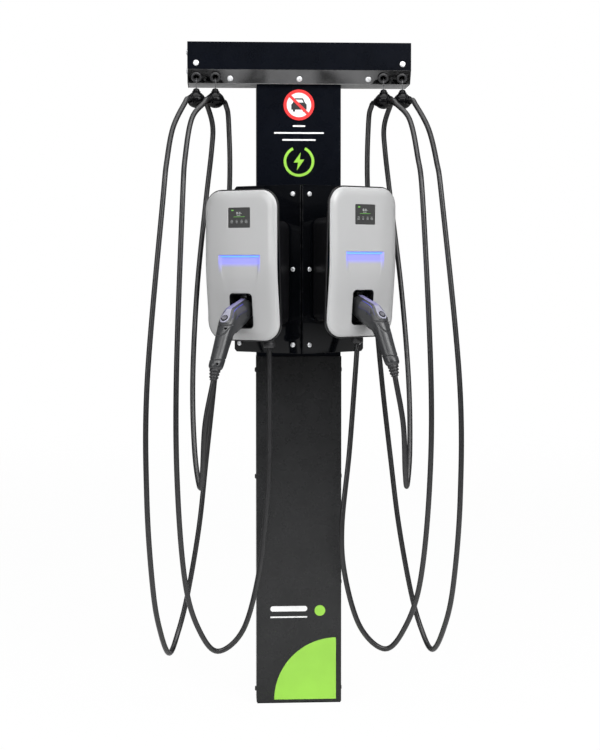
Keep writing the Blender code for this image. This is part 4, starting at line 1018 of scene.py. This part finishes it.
TRIM_PATH = (
    # out of face, height, half width of the pale strip along the top of the plug
    (-0.024, -0.1055, 0.0088), (0.005, -0.1162, 0.009), (0.03, -0.1255, 0.0091), (0.046, -0.1314, 0.0091),
    (0.0545, -0.1352, 0.0094), (0.064, -0.1450, 0.0114), (0.074, -0.1561, 0.0146), (0.0795, -0.1622, 0.0156),
    (0.084, -0.1672, 0.0156), (0.0885, -0.1723, 0.0138), (0.0915, -0.1757, 0.0104), (0.0934, -0.1778, 0.0058),
)
RAIL_PATH = (
    # the grey shoulders that carry the strip, which end in a collar under the button
    (-0.024, -0.1055, 0.0148), (0.005, -0.1162, 0.015), (0.03, -0.1255, 0.0153), (0.046, -0.1314, 0.0157),
    (0.0545, -0.1352, 0.0165), (0.064, -0.1450, 0.0184), (0.074, -0.1561, 0.0202), (0.0815, -0.1645, 0.021),
    (0.0885, -0.1723, 0.0205), (0.0935, -0.1779, 0.018), (0.0965, -0.1817, 0.0145), (0.0985, -0.1845, 0.0095),
)


def strip_along(name, rows, shoulder, drop, sink, thick):
    """A strip along the top of the plug whose flat top falls away over its shoulders."""
    rings = []
    count = len(rows) - 1
    steps = 5
    for k in range(count * steps + 1):
        i = min(k // steps, count - 1)
        t = k / steps - i
        around = [rows[min(max(j, 0), count)] for j in (i - 1, i, i + 1, i + 2)]
        keys = [Vector(row[:2]) for row in around]
        ahead = catmull(*keys, min(t + 0.05, 1)) - catmull(*keys, max(t - 0.05, 0))
        half = max(catmull(*[row[2] for row in around], t), 0.002)
        up = Vector((-ahead.y, ahead.x)).normalized()
        flat = half - min(shoulder, half * 0.7)
        section = [(half, -thick), (half, -drop), (flat, 0), (-flat, 0), (-half, -drop), (-half, -thick)]
        rings.append([out_of_face(*(catmull(*keys, t) + up * (h - sink)), x) for x, h in section])
    return eased(skin(name, rings, sharp=45), 0.0007, 18, 40)


def plug_trim(side, place):
    body, seat = f"{side}_plug_body", standing(BUTTON_OUT, BUTTON_SEAT)

    def bored(strip):
        well = turned("well", [(0, 0.02), (0.009, 0.02), (0.009, -0.012), (0, -0.012)], 32)
        return cut(strip, worked_in(well, seat))

    trim = bored(strip_along(f"{side}_plug_top", TRIM_PATH, 0.0012, 0.0012, 0, 0.006))
    piece(trim, PALE_TRIM, body, "grip_trim", f"{side}_plug_trim", place=place)
    rail = bored(strip_along(f"{side}_plug_rail", RAIL_PATH, 0.0062, 0.0044, 0.0011, 0.0095))
    piece(rail, GRIP, body, "grip_plastic", place=place)
    ring = turned(f"{side}_button_ring", [
        (0.0116, -0.004), (0.0116, 0.0008), *arc((0.0103, 0.0008), 0.0013, 0, 180, 9), (0.009, -0.004)], 40)
    piece(ring, CLAMP, body, "grip_plastic", place=place @ seat)
    dish = [(0, 0.0017), (0.003, 0.0018), (0.0054, 0.0023), (0.0071, 0.003),
            *arc((0.0075, 0.002), 0.001, 80, 0, 6)]
    button = turned(f"{side}_button", [*dish, (0.0085, -0.0095), (0, -0.0095)], 40)
    piece(button, BUTTON, f"{side}_button_body", "latch_button", f"{side}_latch_button", place=place @ seat)


BOOT_START, BOOT_END = out_of_face(0.1345, -0.3235), out_of_face(0.1445, -0.358)


def strain_boot(side, place):
    length = (BOOT_END - BOOT_START).length
    profile = [(0.0165, length), (0.0172, length - 0.001)]
    ribs = 3
    pitch = (length - 0.006) / ribs
    for i in range(ribs):
        top = length - 0.003 - i * pitch
        radius = 0.0172 - 0.0014 * i
        profile += [(radius, top), (radius + 0.0002, top - 0.003), (radius - 0.0004, top - pitch * 0.55),
                    (radius - 0.0035, top - pitch * 0.62), (radius - 0.0036, top - pitch * 0.9)]
    profile += [(0.0125, 0.003), (0.0115, 0.0005), (CABLE_BORE, 0), (CABLE_BORE, length)]
    piece(turned(f"{side}_boot", profile, 40), BOOT, f"{side}_plug_body", "boot_rubber",
          f"{side}_strain_boot", place=place @ standing(BOOT_START - BOOT_END, BOOT_END))


# ---- clamps, ports and wires -------------------------------------------------------------------
CLAMP_Y = -0.108
CLAMP_Z = 2.008
CLAMP_RADIUS = 0.03
CLAMP_HALF_HEIGHT = 0.026


def run_direction(side):
    sign = SIDES[side]
    return Vector((sign * math.cos(CLAMP_TURN), -math.sin(CLAMP_TURN), 0))


def clamp_body(side):
    """The whole ball clamp about its middle: ball, shouldered knob and lipped collars."""
    ball = [(CLAMP_RADIUS * math.sin(math.radians(a)), CLAMP_HALF_HEIGHT * math.cos(math.radians(a)))
            for a in range(48, 180, 6)]
    knob = [(0, 0.0386), (0.0035, 0.0384), (0.0068, 0.0374), (0.0092, 0.0355), (0.0106, 0.0328),
            (0.011, 0.0298), (0.011, 0.0287), *arc((0.0128, 0.0268), 0.0016, 120, -60, 7),
            (0.0128, 0.0245), (0.0142, 0.0238), (0.0168, 0.0227), (0.0176, 0.0216)]
    body = turned("clamp", knob + ball + [(0, -CLAMP_HALF_HEIGHT)], 56)
    direction = run_direction(side)
    lip = arc((0.0122, 0.0353), 0.0017, 90, -10, 6)
    profile = [(0, 0.0365), (CABLE_BORE, 0.037), (0.0122, 0.037), *lip, (0.0127, 0.032), (0.0134, 0.028),
               (0.016, 0.022), (0.0205, 0.013), (0, 0.013)]
    for end in (direction, -direction):
        joined(body, worked_in(turned("collar", profile, 40), standing(end)))
    run = turned("run", [(0, 0.06), (CABLE_BORE, 0.06), (CABLE_BORE, -0.06), (0, -0.06)], 40)
    return cut(body, worked_in(run, standing(direction)))


def clamp_halves(side):
    """Upper and lower half meshes of one side's clamps, split at the seam."""
    halves = []
    for level in (1, -1):
        half = clamp_body(side)
        low, high = sorted((-level * 0.1, level * SEAM))
        keeper = block("keeper", (-0.1, -0.1, low), (0.1, 0.1, high), 0.00005)
        cut(half, keeper)
        half.data.set_sharp_from_angle(angle=math.radians(40))
        halves.append(eased(half, 0.0005, 60, 40))
    return halves


def clamps(side):
    halves = clamp_halves(side)
    for reel, x in REEL_X.items():
        for half, level in zip(halves, ("upper", "lower")):
            made = bpy.data.objects.new(f"{side}_{reel}_clamp_{level}_shell", half.data)
            bpy.context.scene.collection.objects.link(made)
            piece(made, CLAMP, f"{side}_{reel}_clamp_body", "clamp_plastic", f"{side}_{reel}_clamp_{level}",
                  place=Matrix.Translation((SIDES[side] * x, CLAMP_Y, CLAMP_Z)))
    for half in halves:
        bpy.data.objects.remove(half, do_unlink=True)


PORT_CENTRE_Y, PORT_CENTRE_Z = -0.09, 2.0868
PORT_BORE = 0.009


def port_rings(side):
    """The rounded rubber grommets, each a thick bead with a neck and a nut inside."""
    sheet = -SHEET - GAP
    bead = arc((0.0135, 0.0048), 0.0045, -90, 130, 16)
    profile = [(0.013, sheet), (0.013, GAP), *bead, (PORT_BORE, 0.0052), (PORT_BORE, sheet - 0.005),
               (0.0165, sheet - 0.005), (0.0165, sheet)]
    for reel, x in REEL_X.items():
        made = turned(f"{side}_{reel}_grommet", profile, 48)
        seat = Vector((SIDES[side] * x, PORT_CENTRE_Y, PORT_CENTRE_Z))
        piece(made, RUBBER, "root", "grommet", f"{side}_{reel}_port_ring",
              place=standing(SLOPE_DIRECTION, seat))


def frames_along(path):
    """A (point, side, up) frame at each point, turned as little as possible along the way."""
    made = []
    side = None
    for i, point in enumerate(path):
        run = (path[min(i + 1, len(path) - 1)] - path[max(i - 1, 0)]).normalized()
        if side is None:
            side = run.orthogonal().normalized()
        side = (side - run * side.dot(run)).normalized()
        made.append((point, side, run.cross(side)))
    return made


def tube_rings(path, radius, count=20):
    turns = [2 * math.pi * i / count for i in range(count)]
    return [[point + (side * math.cos(a) + up * math.sin(a)) * radius for a in turns]
            for point, side, up in frames_along(path)]


def smooth_path(points, step):
    path = []
    padded = [points[0] * 2 - points[1], *points, points[-1] * 2 - points[-2]]
    for keys in zip(padded, padded[1:], padded[2:], padded[3:]):
        pieces = max(1, math.ceil((keys[2] - keys[1]).length / step))
        path += [catmull(*keys, i / pieces) for i in range(pieces)]
    return path + [points[-1]]


WIRE_RADIUS = 0.0013
LIP_Z = PORT_CENTRE_Z - 0.0065
CLAMP_TOP = CLAMP_Z + 0.037
WIRE_PATH = (
    # y and z, from the drum over the grommet's lip into the clamp's knob
    (-0.0753, 2.135), (-0.0845, 2.0935), (-0.0931, 2.0837), (-0.1017, LIP_Z - 0.0005),
    (-0.1075, LIP_Z - 0.008), (CLAMP_Y, LIP_Z - 0.016), (CLAMP_Y, CLAMP_TOP + 0.0015),
)


def wires(side):
    for reel, reel_x in REEL_X.items():
        x = SIDES[side] * reel_x
        path = smooth_path([Vector((x, y, z)) for y, z in WIRE_PATH], 0.004)
        made = wear(skin(f"{side}_{reel}_rope", tube_rings(path, WIRE_RADIUS, 10)), ROPE)
        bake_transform(made)
        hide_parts(f"{side}_{reel}_wire")


# ---- charging cables ---------------------------------------------------------------------------
INNER_LEG = {
    # the short run of each side from its gland towards the foot of the first loop, as (x, y, z)
    "left": ((-0.1035, -0.21, 1.1), (-0.104, -0.215, 0.86), (-0.114, -0.22, 0.68),
             (-0.139, -0.225, 0.47), (-0.19, -0.23, 0.29)),
    "right": ((0.178, -0.165, 1.1), (0.158, -0.185, 0.86), (0.131, -0.22, 0.62),
              (0.141, -0.225, 0.46), (0.19, -0.23, 0.295)),
}
FIRST_FOOT = (0.271, -0.23, 0.222)
FIRST_RISE = (
    # up the outside of the first loop to the inner clamp; x is the distance from the middle
    (0.33, -0.27, 0.3), (0.373, -0.32, 0.46), (0.396, -0.36, 0.76),
    (0.399, -0.37, 1.11), (0.38, -0.31, 1.67), (0.372, -0.24, 1.82), (0.352, -0.195, 1.94),
)
SECOND_FALL = (
    # down behind the charger towards the foot of the second loop
    (0.233, -0.048, 1.94), (0.2305, -0.046, 1.72), (0.256, -0.038, 1.35), (0.281, -0.03, 1.08),
    (0.309, -0.045, 0.82), (0.333, -0.08, 0.6), (0.371, -0.105, 0.38), (0.402, -0.14, 0.262),
)
SECOND_FOOT = (0.428, -0.21, 0.213)
SECOND_RISE = (
    (0.453, -0.29, 0.3), (0.474, -0.35, 0.45), (0.491, -0.38, 0.74),
    (0.489, -0.37, 1.11), (0.4415, -0.31, 1.673), (0.43, -0.265, 1.8), (0.412, -0.205, 1.91),
)
THIRD_FALL = (
    # down beside the charger towards the foot of the third loop
    (0.286, -0.042, 1.93), (0.2895, -0.04, 1.85), (0.31, -0.044, 1.67), (0.338, -0.1, 1.385),
    (0.351, -0.19, 1.095), (0.344, -0.28, 0.88),
)
THIRD_FOOT = (0.327, -0.345, 0.772)
THIRD_RISE = ((0.318, -0.37, 0.82), (0.31, -0.382, 0.97))
CABLE_STEP = 0.012
RUN_END, BEND_END, BEND_SAG = 0.042, 0.062, Vector((0, 0, -0.014))


def clamp_run(side, reel):
    """The straight run through a clamp and the bend outside each collar, from front to back."""
    centre = Vector((SIDES[side] * REEL_X[reel], CLAMP_Y, CLAMP_Z))
    front = run_direction(side)
    return [centre + front * BEND_END + BEND_SAG, centre + front * RUN_END,
            centre - front * RUN_END, centre - front * BEND_END + BEND_SAG]


def charging_cable(side, place):
    sign = SIDES[side]

    def mirrored(points):
        return [Vector((sign * x, y, z)) for x, y, z in points]

    in_gland, gland_foot = (place @ (GLAND + Vector((0, 0, rise))) for rise in (0.03, -0.006))
    boot, boot_foot = place @ BOOT_START, place @ BOOT_END
    run_out = (boot_foot - boot).normalized()
    inner, outer = clamp_run(side, "inner"), clamp_run(side, "outer")
    points = [gland_foot, *map(Vector, INNER_LEG[side]), *mirrored((FIRST_FOOT, *FIRST_RISE)), *inner,
              *mirrored((*SECOND_FALL, SECOND_FOOT, *SECOND_RISE)), *outer,
              *mirrored((*THIRD_FALL, THIRD_FOOT, *THIRD_RISE)), boot_foot + run_out * 0.003]
    path = [in_gland] + smooth_path(points, CABLE_STEP) + [boot + run_out * 0.0006]
    rings = tube_rings(path, CABLE_RADIUS)

    def nearest(place_on_path):
        return min(range(len(path)), key=lambda i: (path[i] - place_on_path).length)

    first, second, third = mirrored((FIRST_FOOT, SECOND_FOOT, THIRD_FOOT))
    inner_body, outer_body = f"{side}_inner_clamp_body", f"{side}_outer_clamp_body"
    stops = [0, *map(nearest, (first, inner[1], inner[2], second, outer[1], outer[2], third)), len(path) - 1]
    runs = (("lead", "root", None, first, first), ("rise_one", "root", inner_body, first, inner[1]),
            ("grip_one", inner_body, None, None, None), ("fall_one", "root", inner_body, second, inner[2]),
            ("rise_two", "root", outer_body, second, outer[1]), ("grip_two", outer_body, None, None, None),
            ("fall_two", "root", outer_body, third, outer[2]),
            ("tail", "root", f"{side}_plug_body", third, path[-1] + run_out * 0.06))
    for (title, body, other, start, end), low, high in zip(runs, stops, stops[1:]):
        made = wear(skin(f"{side}_cable_{title}", rings[low:high + 1]), JACKET)
        if other:
            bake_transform(made)
        else:
            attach(made, body)
        if title == "lead":
            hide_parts(f"{side}_charging_cable")


# ---- graphics ----------------------------------------------------------------------------------
FILM = 0.0003
SIGN_CENTRE = (0, 1.999)
ICON_CENTRE = (0, 1.812)
SIGN_RADIUS = 0.051
SIGN_RING_WIDTH = 0.0105
SLASH_HALF = 0.0046
CAR_SCALE = 1.22


def film(name, outline, x, z, material, lift=FILM, front=POST_LOW.y, slot="black_powder_coat"):
    """A printed shape, lift proud of a front face that is by default the post's."""
    place = Matrix.Translation((x, front - lift, z)) @ FACE_UP
    piece(prism(name, outline, place, FILM), material, "root", slot)


def circle(radius, count=72):
    return arc((0, 0), radius, 0, 360 * (count - 1) / count, count)


def prohibition_sign():
    """A plain prohibition roundel: red ring and slash over a parked car seen from the front."""
    inner = SIGN_RADIUS - SIGN_RING_WIDTH
    film("sign_disc", circle(inner + 0.001), *SIGN_CENTRE, SIGN_WHITE, 0.0002)
    film("sign_ring", [circle(SIGN_RADIUS), circle(inner)[::-1]], *SIGN_CENTRE, SIGN_RED, 0.0007)
    right = [(0.011, 0.018), (0.0165, 0.0055), (0.021, 0.001), (0.021, -0.013), (0.0165, -0.013),
             (0.0165, -0.0185), (0.0105, -0.0185), (0.0105, -0.013)]
    body = right + [(-x, z) for x, z in reversed(right)]
    window = [(-0.0125, 0.0065), (-0.0085, 0.0145), (0.0085, 0.0145), (0.0125, 0.0065)]
    body, window = ([(px * CAR_SCALE, pz * CAR_SCALE) for px, pz in shape] for shape in (body, window))
    film("sign_car", [body, window[::-1]], *SIGN_CENTRE, SIGN_BLACK, 0.0006)
    reach, half = (inner + 0.003) * math.sqrt(0.5), SLASH_HALF * math.sqrt(0.5)
    bar = [(-reach - half, reach - half), (reach - half, -reach - half), (reach + half, -reach + half),
           (-reach + half, reach + half)]
    film("sign_slash", bar, *SIGN_CENTRE, SIGN_RED, 0.001)


def plain_lines():
    """Three plain white strips where the notice stands."""
    for number, (half, z) in enumerate(((0.021, 1.929), (0.083, 1.906), (0.056, 1.883))):
        film(f"notice_strip_{number}", rounded_rectangle(half, 0.0026, 0.0025, 5), 0, z, SIGN_WHITE)


def charging_icon():
    """An open green ring round a bolt."""
    outer, inner = arc((0, 0), SIGN_RADIUS, 115, 425, 60), arc((0, 0), 0.042, 425, 115, 60)
    film("icon_ring", outer + inner, *ICON_CENTRE, SIGN_GREEN)
    bolt = [(0.003, 0.006), (0.018, 0.006), (-0.007, -0.03), (-0.003, -0.004), (-0.018, -0.004),
            (0.006, 0.03)]
    film("icon_bolt", bolt, *ICON_CENTRE, SIGN_GREEN)


def foot_graphics():
    """The green quarter disc at the foot, and a plain strip with a dot above it."""
    graphics = {
        "quarter": ([(0, 0)] + arc((0, 0), 0.207, 90, 180, 40), 0.124, 0.0126, SIGN_GREEN),
        "strip": (rounded_rectangle(0.062, 0.009, 0.009, 8), -0.034, 0.318, SIGN_WHITE),
        "strip_thin": (rounded_rectangle(0.062, 0.0025, 0.0025, 5), -0.034, 0.29, SIGN_WHITE),
        "dot": (circle(0.018, 48), 0.07, 0.311, SIGN_GREEN)}
    for title, drawing in graphics.items():
        film(f"foot_{title}", *drawing, front=ACCESS_LOW.y, slot="access_cover_coat")


# ---- studio ------------------------------------------------------------------------------------
def studio_floor():
    """A pale disc that thins out to the backdrop's white with distance."""
    bm = bmesh.new()
    bmesh.ops.create_circle(bm, cap_ends=True, radius=9, segments=96)
    floor = as_object("floor", bm)
    floor.location.z = -0.0005
    recipe = new_recipe("floor_paint")
    paint = recipe.mix(recipe.noise(0.6, 2), (0.86, 0.86, 0.86), (0.9, 0.9, 0.9))
    recipe.set(Base_Color=paint, Roughness=0.7)
    glow = recipe.node("Emission", Color=(1, 1, 1, 1), Strength=1.0).outputs[0]
    seen = recipe.times(recipe.node("LightPath").outputs["Is Camera Ray"], 0.97)
    lifted = recipe.mix_shader(seen, recipe.shader.outputs[0], glow)
    away = recipe.vector_maths("LENGTH", recipe.coords.outputs["Object"])
    clear = recipe.node("BsdfTransparent").outputs[0]
    fading = recipe.mix_shader(recipe.between(away, 2.5, 8.5, 0, 1), lifted, clear)
    recipe.feed(recipe.nodes["Material Output"], "Surface", fading)
    wear(floor, recipe.material)


FLAG_NEAR, FLAG_FAR = -1.45, -1.62
FLAGS = {
    # (left, right) of each card at its near edge and at its far edge
    "left_end": ((-0.9, -0.223), (-0.9, -0.269)), "left_middle": ((-0.205, -0.032), (-0.065, -0.032)),
    "right_middle": ((0.222, 0.413), (0.222, 0.235)), "right_end": ((0.504, 1.3), (0.569, 1.3)),
}


def studio_flags():
    """Black cards on the floor that only reflections see, mirrored in the head's slope."""
    for name, (near, far) in FLAGS.items():
        bm = bmesh.new()
        corners = [(x, FLAG_NEAR) for x in near] + [(x, FLAG_FAR) for x in reversed(far)]
        bm.faces.new([bm.verts.new((x, y, 0.001)) for x, y in corners])
        flag = wear(as_object(f"{name}_flag", bm), SHADE_BLACK)
        flag.visible_camera = flag.visible_diffuse = flag.visible_shadow = flag.visible_transmission = False


def studio_world():
    """White to the camera; to the surfaces it is brighter above and behind, and dark in front."""
    world = bpy.data.worlds.new("studio")
    recipe = Recipe(world, "Background")
    way = recipe.coords.outputs["Generated"]
    height = recipe.between(recipe.axis("Z", way), -0.1, 0.9, 0.05, 0.55)
    front = recipe.between(recipe.axis("Y", way), -0.9, 0.6, 0.15, 1)
    seen = recipe.node("Mix")
    seen.data_type = "FLOAT"
    for socket, value in (("0", recipe.node("LightPath").outputs["Is Camera Ray"]),
                          ("2", recipe.times(height, front)), ("3", 1.0)):
        recipe.feed(seen, socket, value)
    recipe.set(Color=(1, 1, 1, 1), Strength=seen.outputs[0])
    bpy.context.scene.world = world


LIGHTS = {
    # place, target, size and power
    "key": ((2.6, -3.4, 3.4), (0, 0, 1.4), (2.2, 2.6), 130),
    "fill": ((-3.2, -3.0, 2.6), (0, 0, 1.3), (2.0, 2.6), 63),
    "top": ((0, -0.6, 4.6), (0, -0.1, 1.0), (3.0, 2.0), 60),
    "floor_wash": ((0, -3.2, 4.2), (0, -2.4, 0), (4.0, 2.4), 140),
}


def soft_light(name, place, target, size, power):
    light = bpy.data.lights.new(name, "AREA")
    light.shape = "RECTANGLE"
    light.size, light.size_y = size
    light.energy = power
    obj = bpy.data.objects.new(name, light)
    bpy.context.scene.collection.objects.link(obj)
    obj.matrix_world = standing(Vector(place) - Vector(target), place)


CAMERA_PLACE = (-0.2671, -5.0301, 1.4788)
CAMERA_YAW = 0.0544
CAMERA_PITCH = 0.0271
FOCAL_LENGTH = 71.76
LENS_SHIFT = -0.097


def camera():
    lens = bpy.data.cameras.new("camera")
    lens.lens = FOCAL_LENGTH
    lens.shift_y = LENS_SHIFT
    obj = bpy.data.objects.new("camera", lens)
    bpy.context.scene.collection.objects.link(obj)
    obj.location = CAMERA_PLACE
    obj.rotation_euler = (math.pi / 2 - CAMERA_PITCH, 0, -CAMERA_YAW)
    bpy.context.scene.camera = obj


# ---- assembly ----------------------------------------------------------------------------------
dress_frame()
slope_screws()
for side_name in SIDES:
    post_screws(side_name)
    head_screws(side_name)
    bracket(side_name)
    bracket_screws(side_name)
    spot = charger_place(side_name)
    for build in (back_shell, front_cover, display, light_bar, holster, gland, plug_handle, plug_trim,
                  strain_boot, charging_cable):
        build(side_name, spot)
    clamps(side_name)
    port_rings(side_name)
    wires(side_name)
prohibition_sign()
plain_lines()
charging_icon()
foot_graphics()
studio_floor()
studio_flags()
studio_world()
for light_name, setting in LIGHTS.items():
    soft_light(light_name, *setting)
camera()
bpy.context.scene.view_settings.view_transform = "Standard"
